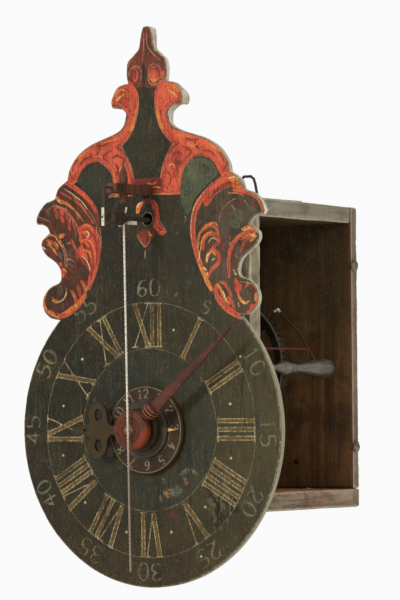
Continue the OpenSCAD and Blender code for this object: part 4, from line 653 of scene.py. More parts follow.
def layer_field(P, strokes, areas=(), soft=True):
    """Distance inside the layer's painted shapes (mm, positive inside, clamped) at every point of P."""
    out = np.full(len(P), -5.0)
    for w, pts in strokes:
        Q = smooth(pts, 5) if len(pts) > 2 and soft else np.array(pts, float)
        lo, hi = Q.min(0) - w / 2 - 4, Q.max(0) + w / 2 + 4
        idx = np.nonzero((P[:, 0] > lo[0]) & (P[:, 0] < hi[0]) & (P[:, 1] > lo[1]) & (P[:, 1] < hi[1]))[0]
        if not len(idx):
            continue
        p = P[idx]
        L = np.r_[0, np.cumsum(np.hypot(*(Q[1:] - Q[:-1]).T))]
        best = np.full(len(p), -9.0)
        for i in range(len(Q) - 1):
            d, t = seg_dist(p, Q[i], Q[i + 1])
            s = (L[i] + t * (L[i + 1] - L[i])) / max(L[-1], 1e-6)
            best = np.maximum(best, taper(s, w, soft) - d)
        out[idx] = np.maximum(out[idx], best)
    for pts in areas:
        Q = smooth_closed(pts, 4)
        lo, hi = Q.min(0) - 5, Q.max(0) + 5
        idx = np.nonzero((P[:, 0] > lo[0]) & (P[:, 0] < hi[0]) & (P[:, 1] > lo[1]) & (P[:, 1] < hi[1]))[0]
        p = P[idx]
        d = np.full(len(p), 9.0)
        for a, b in zip(Q, np.roll(Q, -1, 0)):
            d = np.minimum(d, seg_dist(p, a, b)[0])
        out[idx] = np.maximum(out[idx], np.where(inside(p, Q), d, -d))
    return np.clip(out, -5, 5)


def stroke_points(strokes, step, soft=True):
    pts = []
    for w, P in strokes:
        Q = smooth(P, 5) if len(P) > 2 and soft else np.array(P, float)
        pts.append(resample(Q, step))
    return np.vstack(pts)


def triangulate(loops, extra):
    """Triangles inside the first loop and outside the others, through all the extra points."""
    verts, edges = [], []
    for L in loops:
        n0 = len(verts)
        verts += [Vector(map(float, v)) for v in L]
        edges += [(n0 + i, n0 + (i + 1) % len(L)) for i in range(len(L))]
    nb = len(verts)
    verts += [Vector(map(float, v)) for v in extra]
    v, e, f, ov, oe, of = geometry.delaunay_2d_cdt(verts, edges, [list(range(len(loops[0])))], 1, 1e-5)
    V = np.array([tuple(x) for x in v])
    where = np.full(nb, -1)
    for i, o in enumerate(ov):
        for k in o:
            if k < nb:
                where[k] = i
    F = np.array([t for t in f if len(t) == 3])
    C = V[F].mean(1)
    ok = np.ones(len(F), bool)
    for L in loops[1:]:
        lo, hi = L.min(0), L.max(0)
        idx = np.nonzero((C[:, 0] > lo[0]) & (C[:, 0] < hi[0]) & (C[:, 1] > lo[1]) & (C[:, 1] < hi[1]))[0]
        ok[idx[inside(C[idx], L)]] = False
    return V, F[ok], where


def ring(cx, cz, r, n):
    return np.array([(cx + r * math.cos(t), cz + r * math.sin(t)) for t in np.linspace(0, 2 * math.pi, n, endpoint=False)])


def hex_grid(step, lo, hi, poly, jitter=.12):
    pts = []
    z = lo[1]
    k = 0
    a, b = poly, np.roll(poly, -1, 0)
    while z < hi[1]:
        c = (a[:, 1] > z) != (b[:, 1] > z)
        xs = np.sort(a[c, 0] + (z - a[c, 1]) * (b[c, 0] - a[c, 0]) / (b[c, 1] - a[c, 1]))
        for x0, x1 in zip(xs[::2], xs[1::2]):
            x = np.arange(math.ceil(x0 / step - (k % 2) * .5) + (k % 2) * .5, x1 / step, 1.0) * step
            pts.append(np.c_[x, np.full(len(x), z)])
        z += step * .866
        k += 1
    P = np.vstack(pts)
    return P + rng.uniform(-jitter, jitter, P.shape) * step


def thin_out(P, keep_off, dist):
    t = kdtree.KDTree(len(keep_off))
    for i, p in enumerate(keep_off):
        t.insert((p[0], p[1], 0), i)
    t.balance()
    d = np.array([t.find((p[0], p[1], 0))[2] for p in P])
    return P[d > dist], t


def build_shield():
    n = loop_normals(OUT)
    arc_s = np.r_[0, np.cumsum(np.hypot(*(np.roll(OUT, -1, 0) - OUT).T))][:-1]
    wear = np.array([.9 + .55 * noise.noise(Vector((p[0] * .09, p[1] * .09, 3))) + .5 * max(0, noise.noise(Vector((p[0] * .4, p[1] * .4, 9)))) for p in OUT])
    wear = np.clip(wear, .5, 1.7)
    wave = np.array([.22 * noise.noise(Vector((p[0] * .06, p[1] * .06, 20))) for p in OUT]) - .22
    base = OUT + n * np.maximum(-wave, 0)[:, None] * .6       # knife-cut outline, never outside the board
    loops = [base + n * wear[:, None]] + [ring(*h) for h in HOLES]
    S = {k: [(w * {"Y": .68, "O": .84, "P": .85}.get(k, 1), p) for l, w, p in STROKES if l == k] for k in "RDOPYGKVBQTWHU"}
    A = {k: [p for l, p in AREAS if l == k] for k in "RDBFTU"}
    spine = np.vstack([stroke_points([(w, p) for l, w, p in STROKES], .95), stroke_points(N1 + N2 + N3, .95, False),
                       stroke_points(DOTS, .3, False)])
    spine = spine[inside(spine, base + n * (wear + .5)[:, None])]
    t = kdtree.KDTree(len(spine))
    used, sel = set(), []
    for i, p in enumerate(spine):          # one point per .55 mm cell
        key = (int(p[0] / .6), int(p[1] / .6))
        if key not in used:
            used.add(key)
            sel.append(p)
    spine = np.array(sel)
    grid = hex_grid(1.5, OUT.min(0), OUT.max(0), base + n * (wear + .7)[:, None])
    grid, _ = thin_out(grid, spine, .7)
    extra = np.vstack([spine, grid])
    for cx, cz, r, _ in HOLES:
        extra = extra[np.hypot(extra[:, 0] - cx, extra[:, 1] - cz) > r + .6]
    V, F, where = triangulate(loops, extra)
    # front face relief: the hand-planed board is a little uneven
    def relief(x, z):
        return .16 + .14 * noise.noise(Vector((x * .02, z * .006, 1))) + .05 * noise.noise(Vector((x * .3, z * .03, 4)))
    verts = [(x, relief(x, z), z) for x, z in V]
    faces = [tuple(f) for f in F]
    # make the front faces look towards the viewer (-Y)
    a, b, c = (np.array(verts)[F[:, i]] for i in range(3))
    if np.cross(b - a, c - a)[:, 1].mean() > 0:
        faces = [f[::-1] for f in faces]
    index = [0] * len(faces)
    edge = [9.0] * len(verts)
    m = len(OUT)
    outer = where[:m]
    rings = [list(outer)]
    for q, th in enumerate((30, 60, 90)):
        s, c_ = math.sin(math.radians(th)), math.cos(math.radians(th))
        ids = []
        for i in range(m):
            P = base[i] + n[i] * wear[i] * (1 - s)
            ids.append(len(verts))
            verts.append((P[0], relief(*P) * c_ + wear[i] * (1 - c_), P[1]))
        rings.append(ids)
    for d in (3.0, 5.5, 8.5, 11.2, 12):
        ids = []
        for i in range(m):
            w_ = .10 * noise.noise(Vector((base[i][0] * .2, base[i][1] * .2, d * .35)))
            up = min(1, max(.8, (base[i][1] - 84) / 20), max(.1, (364 - base[i][1]) / 25), max(0, (abs(base[i][1] - 292) - 7) / 12))     # the edge is cut back behind the front face
            P = base[i] + n[i] * (max(0, w_) + (.4 if d == 12 else 0) + .7 * max(0, d - 5.5) * up)
            ids.append(len(verts))
            verts.append((P[0], d, P[1]))
        rings.append(ids)
    for k in range(len(rings) - 1):
        A0, B0 = rings[k], rings[k + 1]
        for i in range(m):
            j = (i + 1) % m
            faces.append((A0[i], A0[j], B0[j], B0[i]))
            index.append(0 if k < 3 else 1)
    # holes through the board
    start = m
    hole_back = []
    for cx, cz, r, cnt in HOLES:
        prev = list(where[start:start + cnt])
        start += cnt
        for d in (.9, 6, 12):
            ids = []
            for x, z in ring(cx, cz, r, cnt):
                ids.append(len(verts))
                verts.append((x, d, z))
            for i in range(cnt):
                j = (i + 1) % cnt
                faces.append((prev[j], prev[i], ids[i], ids[j]))
                index.append(2)
            prev = ids
        hole_back.append(prev)
    # back
    back_loop = np.array([(verts[i][0], verts[i][2]) for i in rings[-1]])
    coarse = hex_grid(7, OUT.min(0), OUT.max(0), base + n * 7)
    for cx, cz, r, _ in HOLES:
        coarse = coarse[np.hypot(coarse[:, 0] - cx, coarse[:, 1] - cz) > r + 3]
    V2, F2, w2 = triangulate([back_loop] + [ring(*h) for h in HOLES], coarse)
    ids = list(rings[-1]) + [i for h in hole_back for i in h]
    mapping = np.full(len(V2), -1)
    for k, i in enumerate(ids):
        mapping[w2[k]] = i
    for i, (x, z) in enumerate(V2):
        if mapping[i] < 0:
            mapping[i] = len(verts)
            verts.append((x, 12.0, z))
    v3 = np.array(verts)
    a, b, c = (v3[mapping[F2[:, i]]] for i in range(3))
    flip_ = np.cross(b - a, c - a)[:, 1].mean() < 0
    for f in F2:
        t3 = tuple(mapping[f])
        faces.append(t3[::-1] if flip_ else t3)
        index.append(1)
    v3 = np.array(verts)
    # side quads have to look outward
    f0 = faces[index.index(1)]
    P2 = v3[:, (0, 2)]
    o = make("shield_painted", [mm(*v) for v in verts], faces, "case", ("shield",),
             (mat_shield(), MAT["shield_side"], MAT["hole_wood"]), index=index)
    fields = {}
    near = v3[:, 1] < 2.5
    for k in "RDOPYGKVBFQTWHU":
        val = np.full(len(P2), -5.0)
        val[near] = layer_field(P2[near], S.get(k, []), A.get(k, []))
        attribute(o, "p" + k, val)
    for k, st in (("N1", N1), ("N2", N2), ("N3", N3), ("DOT", DOTS)):
        val = np.full(len(P2), -5.0)
        val[near] = layer_field(P2[near], st, (), False)
        attribute(o, "p" + k, val)
    t = kdtree.KDTree(m)
    for i, p in enumerate(base):
        t.insert((p[0], p[1], 0), i)
    t.balance()
    e = np.array([t.find((p[0], p[1], 0))[2] for p in P2])
    for cx, cz, r, _ in HOLES[1:2]:
        e = np.minimum(e, np.abs(np.hypot(P2[:, 0] - cx, P2[:, 1] - cz) - r) + .4)
    e = np.where(near, e - np.clip(v3[:, 1] - .35, 0, 3), e)
    attribute(o, "edge", e)
    print("shield", len(verts), "verts", len(faces), "faces")
    bm = bmesh.new(); bm.from_mesh(o.data)
    bmesh.ops.recalc_face_normals(bm, faces=bm.faces)
    bm.to_mesh(o.data); bm.free()
    crisp(o, 50)
    return o


EMB = (78.0, -62.0)


def mat_shield():
    g = G("shield_paint", .545)
    co = g.co()
    x, y, z = g.xyz(co)
    rag = g.noise(co, 1.3, 3, .65)
    rag2 = g.noise(co, .45, 4, .65, .4)
    brush = g.noise(g.stretch(g.warp(co, 3.0, .04), (1, 1, .10)), 1.1, 4, .65)
    fine = g.noise(co, 3.2, 4, .7)
    wearn = g.noise(co, .30, 6, .72, .5)
    broad = g.noise(co, .016, 4, .55, .6)
    half = g.math("SUBTRACT", broad, .5)
    # where the paint has suffered most: low on the right, and along the rim
    hurt = g.step(g.add(g.mul(x, .45), g.mul(z, -1.0), g.mul(half, 60)), 20, 105)
    dist = g.math("SQRT", g.add(g.mul(x, x), g.mul(z, z)))
    rimw = g.mul(g.step(dist, 104, 136), g.step(z, 100, 60))
    # ground: nearly black green-brown paint over pine
    gnd = g.ramp(g.add(broad, g.mul(g.math("SUBTRACT", brush, .5), .30)), [(.30, (22, 23, 13)), (.50, (33, 33, 20)), (.70, (48, 46, 30))])
    side = g.step(g.add(x, g.mul(z, -.30), g.mul(half, 60)), -50, 150)
    gnd = g.mix(g.mul(side, .66), gnd, (82, 80, 60))
    low = g.step(g.add(z, g.mul(half, 90)), -20, -125)
    gnd = g.mix(g.mul(low, .34), gnd, (64, 54, 38))
    gnd = g.mix(g.mul(g.step(g.noise(co, .05, 5, .65, .8), .52, .70), .45), gnd, (66, 50, 31))
    gnd = g.mix(g.mul(g.step(g.noise(g.stretch(co, (1, 1, .3), (40, 0, 9)), .12, 5, .7, .3), .54, .70), .55), gnd, (17, 18, 11))
    gnd = g.mix(g.mul(g.step(g.noise(g.stretch(co, (1, 1, .6)), .022, 5, .65, .9), .50, .66), .55), gnd, (38, 50, 42))
    ringd = g.mul(g.step(dist, 40, 48), g.step(dist, 76, 68))        # less handled ring round the middle
    gnd = g.mix(g.mul(ringd, .38), gnd, (30, 36, 28))
    # grain of the pine printing through: fine upright lines, light and dark
    gr = g.noise(g.stretch(g.warp(co, 4.0, .012), (1, 1, .022)), 1.05, 3, .62)
    vis = g.step(g.noise(g.stretch(co, (1, 1, .4), (5, 0, 31)), .04, 3, .55), .38, .62, .25, 1.0)
    gnd = g.mix(g.mul(g.step(gr, .57, .66), vis, .42), gnd, (96, 86, 60))
    gnd = g.mix(g.mul(g.step(gr, .44, .35), vis, .55), gnd, (15, 14, 8))
    # light scratches and flecks through to the wood
    fl = g.noise(g.stretch(co, (1, 1, .45)), 1.0, 5, .80)
    fleck = g.step(g.add(fl, g.mul(g.add(hurt, rimw), .045)), .615, .66)
    some = g.step(g.noise(g.stretch(co, (1, 1, .6), (9, 0, 40)), .028, 5, .62, .7), .42, .62, .10, 1.0)
    gnd = g.mix(g.mul(fleck, some, .62), gnd, (142, 130, 100))
    smear = g.step(g.noise(g.stretch(g.warp(co, 20, .02), (1, 1, .25), (70, 0, 15)), .10, 6, .74, .3), .60, .70)
    gnd = g.mix(g.mul(smear, .30), gnd, (104, 100, 78))

    def scratch(k, off, scale, width, gate, amt, c):
        nonlocal gnd
        q = g.math("ABSOLUTE", g.math("SUBTRACT", g.noise(g.stretch(g.warp(co, 8, .02), k, off), scale, 2, .5, .2), .5))
        q = g.mul(g.step(q, width, .0), g.step(g.noise(g.stretch(co, (1, 1, 1), off), .055, 3, .6), *gate))
        gnd = g.mix(g.mul(q, amt), gnd, c)
        return q
    s1 = scratch((1, 1, .07), (3, 0, 5), .55, .010, (.42, .56), .65, (134, 116, 82))
    s2 = scratch((.25, 1, .9), (30, 0, 50), .20, .005, (.52, .62), .55, (124, 106, 76))
    s3 = scratch((1, 1, .16), (90, 0, 12), .9, .012, (.46, .58), .50, (112, 100, 72))
    # crazed, flaking paint
    cell = g.vor(g.stretch(g.warp(co, 3.0, .3), (1, 1, .55)), .42, "DISTANCE_TO_EDGE")
    crz = g.mul(g.step(cell, .07, .02), g.step(g.add(g.noise(co, .05, 4, .6), g.mul(hurt, .12)), .56, .68))
    gnd = g.mix(g.mul(crz, .55), gnd, (100, 86, 60))
    # drying cracks along the grain
    crk = g.math("ABSOLUTE", g.math("SUBTRACT", g.noise(g.stretch(g.warp(co, 5, .015), (1, 1, .018), (11, 0, 2)), .09, 3, .5, .1), .5))
    crk = g.mul(g.step(crk, .0035, .0), g.step(g.noise(g.stretch(co, (1, 1, .3)), .045, 2, .5), .5, .6))
    gnd = g.mix(g.math("SUBTRACT", 1.0, g.mul(ringd, .65)), gnd, (242, 227, 190), "MULTIPLY")
    gnd = g.gain(gnd, g.step(z, -15, -105, .97, .76))
    col = gnd
    hgt = g.add(g.mul(brush, .5), g.mul(fine, .30), g.mul(crk, -1.4), g.mul(gr, .5), g.mul(fleck, -.7), g.mul(crz, -.8),
                g.mul(wearn, g.add(.4, g.mul(hurt, 1.6))), g.mul(g.add(s1, s3), -.5))
    # torn, blistered wood low on the right: relief in the bump, painted shade in its creases and painted highlights on
    # its ridges
    gx, gz = g.math("SUBTRACT", x, EMB[0]), g.math("SUBTRACT", z, EMB[1])
    gd = g.math("SQRT", g.add(g.mul(gx, gx, 1.6), g.mul(gz, gz, .8)))
    torn_ = g.step(g.add(gd, g.mul(g.math("SUBTRACT", g.noise(co, .08, 3, .6), .5), 26)), 27, 14)
    rid = g.noise(g.stretch(g.warp(co, 14, .05), (1, 1, .42), (8, 0, 1)), .17, 3, .55, 1.4)
    hgt = g.add(hgt, g.mul(torn_, g.step(rid, .40, .58), 4.5))
    # painted shade in the creases of the torn wood, then painted highlights on its ridges
    col = g.mix(g.mul(torn_, g.step(rid, .49, .42), .75), col, (17, 14, 8))
    col = g.mix(g.mul(torn_, g.step(rid, .53, .57), .5), col, (112, 100, 70))
    chip = g.step(wearn, .56, .64)
    fleck2 = g.step(g.noise(g.stretch(co, (1, 1, .5), (60, 0, 3)), 1.15, 5, .80), .56, .62)

    def lay(name, c1, c2, soft=.35, amp=1.3, alpha=.94, wear=.45, lift=.35, brushy=.5, dark=(52, 30, 20), k=1.7, torn=None):
        nonlocal col, hgt
        f0 = g.attr(name)
        f = g.add(f0, g.mul(g.math("SUBTRACT", rag, .5), amp), g.mul(g.math("SUBTRACT", rag2, .5), amp * .8))
        st = g.streak(g.add(f0, g.mul(rag2, .5)), k, .045, 3, 7.0)
        m = g.step(f, -soft, soft)
        m = g.mul(m, g.math("SUBTRACT", 1.0, g.mul(chip, wear)), g.math("SUBTRACT", 1.0, g.mul(fleck2, wear * .9)), alpha)
        m = g.mul(m, g.step(st, .36, .46, 1.0 - brushy * .75, 1.0))
        if torn is not None:          # only scattered flakes of it are left
            m = g.mul(m, g.step(g.noise(g.stretch(co, (1, 1, .7), (3, 0, 44)), .85, 5, .8), torn, torn + .07))
        tone = g.step(g.add(g.mul(st, .6), g.mul(rag2, .2), g.mul(brush, .2)), .40, .58)
        paint_ = g.mix(tone, c1, c2)
        paint_ = g.mix(g.mul(g.step(gr, .45, .36), .55), paint_, dark)
        col = g.mix(m, col, paint_)
        hgt = g.add(hgt, g.mul(m, lift))
        return m

    left = g.step(x, -50, -66)
    lay("pB", g.mix(left, (54, 42, 28), (52, 24, 13)), g.mix(left, (86, 70, 50), (88, 46, 28)), .8, 2.2, .80, .35, .1, .5)
    lay("pF", (78, 30, 20), (112, 52, 34), .6, 1.6, .9, .4, .1, .5)
    lay("pG", (56, 64, 46), (86, 90, 66), .6, 1.8, .8, .4, .1)
    lay("pU", (34, 36, 25), (52, 53, 38), 1.2, 2.4, .6, .5, .1)
    lay("pT", (58, 64, 44), (88, 92, 64), .8, 2.2, .85, .6, .1, .3, dark=(36, 40, 28))
    lay("pR", (156, 48, 30), (214, 92, 60), .35, 1.1, .95, .6, .35, .45, k=1.3)
    lay("pK", (26, 18, 12), (48, 28, 20), .35, .9, .85, .4, .1)
    lay("pV", (64, 48, 44), (100, 76, 68), .5, 1.4, .7, .5, .1)
    lay("pD", (84, 26, 17), (126, 46, 30), .4, 1.2, .85, .45, .15)
    lay("pO", (176, 82, 26), (222, 142, 60), .3, 1.2, .9, .6, .4, .7, k=2.4)
    lay("pP", (136, 74, 54), (196, 136, 104), .25, 1.0, .62, .8, .3, .8)
    lay("pY", (196, 154, 78), (232, 206, 142), .22, .8, .86, .65, .45, .8, k=2.6)
    lay("pH", (92, 44, 28), (120, 62, 40), 1.4, 3.4, .7, .4, 0, .3, torn=.47)
    lay("pQ", (158, 98, 50), (200, 140, 84), 1.4, 3.6, .9, .5, .1, .3, torn=.46)

    lay("pW", (92, 100, 90), (142, 144, 124), 1.6, 4.0, .74, .6, .1, .5, torn=.45)
    # numerals: brushed ochre bars with thin ivory outlines, much rubbed
    lay("pN1", (54, 42, 21), (146, 113, 60), .5, 2.6, .66, 1.5, .2, 1.3, k=3.4)
    lay("pN2", (136, 116, 72), (206, 188, 138), .24, 1.3, .64, 1.45, .35, 1.1)
    lay("pN3", (104, 98, 72), (164, 156, 122), .25, 1.1, .46, 1.5, .3, 1.0)
    lay("pDOT", (170, 160, 128), (206, 198, 168), .3, .8, .85, .5, .5, .2)
    # dark age film and dust, a painted highlight line along the right rim of the dial, then rubbed edges down to bare
    # pine
    film = g.step(g.noise(co, .09, 5, .68, .4), .45, .75)
    col = g.mix(g.mul(film, .26), col, (22, 19, 12))
    over = g.step(g.noise(g.stretch(co, (1, 1, .35), (20, 0, 70)), .9, 5, .8), .60, .66)
    col = g.mix(g.mul(over, .35), col, (150, 138, 106))
    col = g.mix(g.mul(crk, .8), col, (14, 11, 8))
    e = g.attr("edge")
    # painted highlight: a light line just inside the front rim, on the right side of the dial only
    line = g.mul(g.step(g.math("ABSOLUTE", g.math("SUBTRACT", g.add(e, g.mul(g.math("SUBTRACT", rag2, .5), 1.6)), .7)), .75, .25),
                 g.step(z, 96, 70), g.step(x, 30, 90), g.step(g.noise(co, .12, 4, .65), .38, .55))
    col = g.mix(g.mul(line, .75), col, (132, 130, 108))
    rub = g.step(g.add(e, g.mul(g.noise(co, .33, 5, .68), -3.2), g.mul(rag, -.8)), -.3, -1.5)
    col = g.mix(g.mul(rub, .85), col, g.mix(g.step(rag2, .4, .6), (136, 128, 104), (88, 76, 54)))
    rough = g.add(.42, g.mul(rag2, .18), g.mul(rub, .2), g.mul(chip, .08), g.mul(hurt, .06))
    return g.finish(col, rough, hgt, .20, spec=.11)


# ---------------------------------------------------------------- materials
MAT = {}
MAT["shield_side"] = wood("shield_side", (118, 106, 84), (170, 162, 140), (206, 200, 182), axis=2, rough=(.65, .9), deep=.35, spec=.1,
                          dirt=(84, 74, 58), dirt_amount=.4, shade=(2, 66, 112, (128, 123, 98), .85), level=.86,
                          specks=((80, 60, 42), .45))
MAT["hole_wood"] = wood("hole_wood", (24, 18, 12), (46, 34, 23), (70, 52, 36), axis=1, rough=(.7, .9), dirt=(12, 10, 7), spec=.1)
MAT["case_end"] = wood("case_end", (112, 102, 84), (146, 138, 118), (170, 162, 142), axis=1, grain=.9, contrast=.7, rough=(.65, .9), deep=.3,
                       dirt=(92, 80, 62), dirt_amount=.5, edge=(176, 168, 148), worm=.07, level=.60, spec=.1, specks=((64, 50, 36), .6), line=(2, 188.0, 1.0, (104, 50, 36), .6))
MAT["case_front_edge"] = wood("case_front_edge", (96, 84, 64), (146, 134, 110), (176, 166, 142), axis=2, rough=(.65, .9), deep=.3,
                              dirt=(66, 54, 42), dirt_amount=.6, edge=(176, 164, 138), worm=.045, level=.82, spec=.1, specks=((60, 46, 34), .4))
MAT["case_back_edge"] = wood("case_back_edge", (86, 74, 56), (126, 112, 90), (152, 140, 118), axis=2, contrast=.8, rough=(.6, .85), deep=.3,
                             dirt=(72, 50, 38), dirt_amount=.5, edge=(160, 138, 112), worm=.03, patch=((118, 74, 52), .56, .70, .05),
                             level=.70, spec=.1, line=(1, -10.4, .3, (104, 52, 38), .7), specks=((60, 44, 32), .5), shade=(2, 178, 60, (88, 78, 62), .55))
MAT["base_end"] = wood("base_end", (88, 74, 56), (132, 118, 98), (158, 146, 126), axis=1, grain=.9, rough=(.65, .9), deep=.35, spec=.1,
                       dirt=(66, 52, 40), dirt_amount=.6, edge=(154, 142, 120), worm=.06, patch=((124, 80, 58), .48, .64, .03), line=(2, -57.6, .7, (122, 60, 46), .5), level=.76,
                       specks=((58, 44, 32), .5))
MAT["case_outside"] = wood("case_outside", (66, 48, 34), (98, 76, 56), (128, 104, 80), axis=2, rough=(.55, .8), deep=.3,
                           dirt=(44, 32, 24), dirt_amount=.6, edge=(142, 118, 92), worm=.03)
MAT["front_face"] = wood("front_face", (96, 84, 64), (140, 128, 106), (168, 158, 134), axis=2, rough=(.65, .9), deep=.3, spec=.1,
                         dirt=(66, 54, 42), dirt_amount=.6, edge=(168, 156, 132), worm=.03, level=.6)
MAT["inner_dark"] = wood("inner_dark", (52, 37, 20), (90, 62, 35), (122, 86, 50), axis=2, contrast=.7, rough=(.65, .9), deep=.35, spec=.12,
                         dirt=(32, 27, 16), dirt_amount=.7, edge=(70, 42, 30), worm=.03, level=1, shade2=(2, -60, 90, (44, 26, 12), .4),
                         shade=(2, 150, 20, (36, 36, 22), .55), specks=((176, 146, 106), .75, .612))
MAT["inner_floor"] = wood("inner_floor", (84, 52, 27), (140, 90, 48), (172, 118, 68), axis=0, rough=(.6, .85), deep=.3,
                          dirt=(40, 27, 17), dirt_amount=.5, edge=(140, 104, 72), level=.9)
MAT["bracket"] = wood("bracket_wood", (42, 28, 17), (72, 46, 29), (98, 64, 41), axis=2, grain=1.4, rough=(.5, .75), deep=.2,
                      dirt=(20, 14, 10), dirt_amount=.6, spec=.12, specks=((110, 84, 58), .35))
MAT["spool"] = wood("spool_wood", (30, 22, 15), (50, 36, 25), (74, 56, 40), axis=2, grain=1.4, rough=(.5, .75), deep=.2,
                    dirt=(16, 12, 9), dirt_amount=.6, spec=.12, specks=((110, 90, 66), .35), level=.66)
MAT["movement"] = wood("movement_wood", (62, 44, 28), (98, 72, 46), (128, 98, 66), axis=2, rough=(.5, .75), deep=.2,
                       dirt=(44, 32, 22), dirt_amount=.5)
MAT["wheel"] = wood("wheel_wood", (74, 56, 36), (116, 94, 64), (152, 130, 96), axis=0, grain=1.2, rough=(.45, .7), deep=.15,
                    dirt=(52, 40, 28), dirt_amount=.5)
# great wheel: its web painted in shade inside the case, with a painted highlight line along its rim
MAT["wheel_dark"] = wood("wheel_dark", (46, 40, 29), (74, 66, 50), (104, 95, 76), axis=0, grain=1.2, rough=(.5, .75), deep=.15,
                         dirt=(24, 20, 14), dirt_amount=.7, spec=.10, level=.55, specks=((120, 108, 84), .4), radial_shade_glint=(0, 57, 60.6, (24, 21, 13), 62.1, (150, 142, 122)))
MAT["arbor"] = wood("arbor_wood", (34, 31, 23), (60, 56, 43), (98, 92, 74), axis=1, grain=1.5, rough=(.22, .42), deep=.15,
                    dirt=(24, 20, 15), dirt_amount=.55, spec=.5, level=.95, specks=((120, 108, 86), .3))
MAT["iron"] = metal("iron", (58, 54, 50), (34, 31, 29), (84, 46, 30), .45, (.38, .62), .12, .8, bright=(132, 126, 118))
MAT["iron_dark"] = metal("iron_dark", (42, 40, 38), (24, 23, 22), (62, 38, 28), .3, (.42, .66), .12, .6)
MAT["verge_iron"] = metal("verge_iron", (36, 33, 26), (20, 18, 14), (44, 32, 22), .5, (.5, .7), .12, .2, spec=.25)
MAT["hammer_wire"] = metal("hammer_wire", (52, 38, 28), (34, 25, 18), (66, 36, 24), .7, (.5, .7), .06, .1, spec=.2)
MAT["detent"] = metal("detent_wire", (74, 34, 26), (50, 24, 18), (84, 32, 24), .7, (.5, .7), .06, .1, spec=.15)
MAT["bell"] = metal("bell_metal", (128, 100, 52), (78, 60, 34), (54, 66, 50), .4, (.28, .5), .12, .9, bright=(190, 160, 100))
MAT["pale_plate"] = paint("pale_plate", (206, 202, 190), (180, 174, 156), (120, 106, 86), .5, (.45, .65), .08, dirt=(110, 94, 74), level=1.0)
MAT["pale_wire"] = metal("pale_wire", (164, 156, 142), (112, 102, 88), (104, 76, 56), .35, (.42, .6), .06, .3, bright=(196, 190, 176), spec=.25, shade=(2, -45, 35, (88, 73, 56), .85))
MAT["pin"] = metal("pin_steel", (104, 94, 82), (64, 56, 48), (84, 56, 40), .3, (.3, .5), .05, .7, bright=(160, 150, 134), spec=.3)
MAT["red"] = paint("red_paint", (78, 38, 25), (98, 46, 29), (150, 84, 52), .55, (.30, .48), .16, spec=.35, dirt=(34, 20, 14), sharp=(.56, .60))
# hub: a red-orange painted highlight on its lower-right side
MAT["hub"] = paint("hub_paint", (78, 42, 25), (98, 50, 30), (176, 66, 36), .6, (.36, .52), .16, spec=.11, dirt=(36, 24, 17), sharp=(.57, .62), level=.50, glint_side=(.78, -.62, 9, 16, (160, 56, 32), .45))
MAT["hand"] = paint("hand_paint", (48, 38, 20), (60, 48, 27), (104, 82, 50), .35, (.4, .6), .16, dirt=(22, 18, 11), spec=.08, sharp=(.57, .62), level=.33)
MAT["inner_disc"] = paint("inner_disc_paint", (58, 46, 29), (46, 40, 25), (98, 80, 52), .4, (.38, .55), .14, dirt=(28, 23, 15), spec=.2,
                          sharp=(.57, .62), level=.50)
MAT["pointer"] = metal("pointer_brass", (196, 150, 84), (140, 102, 58), (96, 72, 44), .2, (.3, .5), .05, .6)

SLOTS = {"bracket": ["gallows_arm", "gallows_peg"], "spool": ["verge_spool"],
         "movement": ["middle_bar", "rear_bar", "potence", "alarm_posts"],
         "wheel_dark": ["great_wheel"],
         "wheel": ["minute_wheel", "hour_wheel", "hour_tube", "alarm_cam", "motion_pinion", "motion_wheel", "rope_pulley",
                   "ratchet_wheel", "contrate_wheel", "contrate_pinion", "crown_wheel", "escape_pinion", "alarm_crown_wheel"],
         "arbor": ["great_arbor", "contrate_arbor", "hammer_arbor", "alarm_arbor"],
         "iron": ["ratchet_click", "escape_arbor", "verge_pallets", "hammer_pallets", "bell_post"],
         "iron_dark": ["hanging_hoop", "crown_bridge"], "pin": ["centre_arbor"], "verge_iron": ["verge_arbor", "gallows_post"], "hammer_wire": ["hammer_wire"], "detent": ["alarm_detent"], "bell": ["bell"],
         "pale_plate": ["verge_front_plate", "verge_strip", "hammer_tip"], "pale_wire": ["rod_clip"],
         "hub": ["minute_hub"], "hand": ["hour_collar", "hour_hand"], "inner_disc": ["alarm_inner_disc"],
         "pointer": ["alarm_pointer"], "case_outside": ["case_pegs"]}
for key, names in SLOTS.items():
    for nm in names:
        o = NODE[nm]
        if not o.data.materials:
            o.data.materials.append(MAT[key])
        for i in range(len(o.material_slots)):
            o.material_slots[i].material = MAT[key]

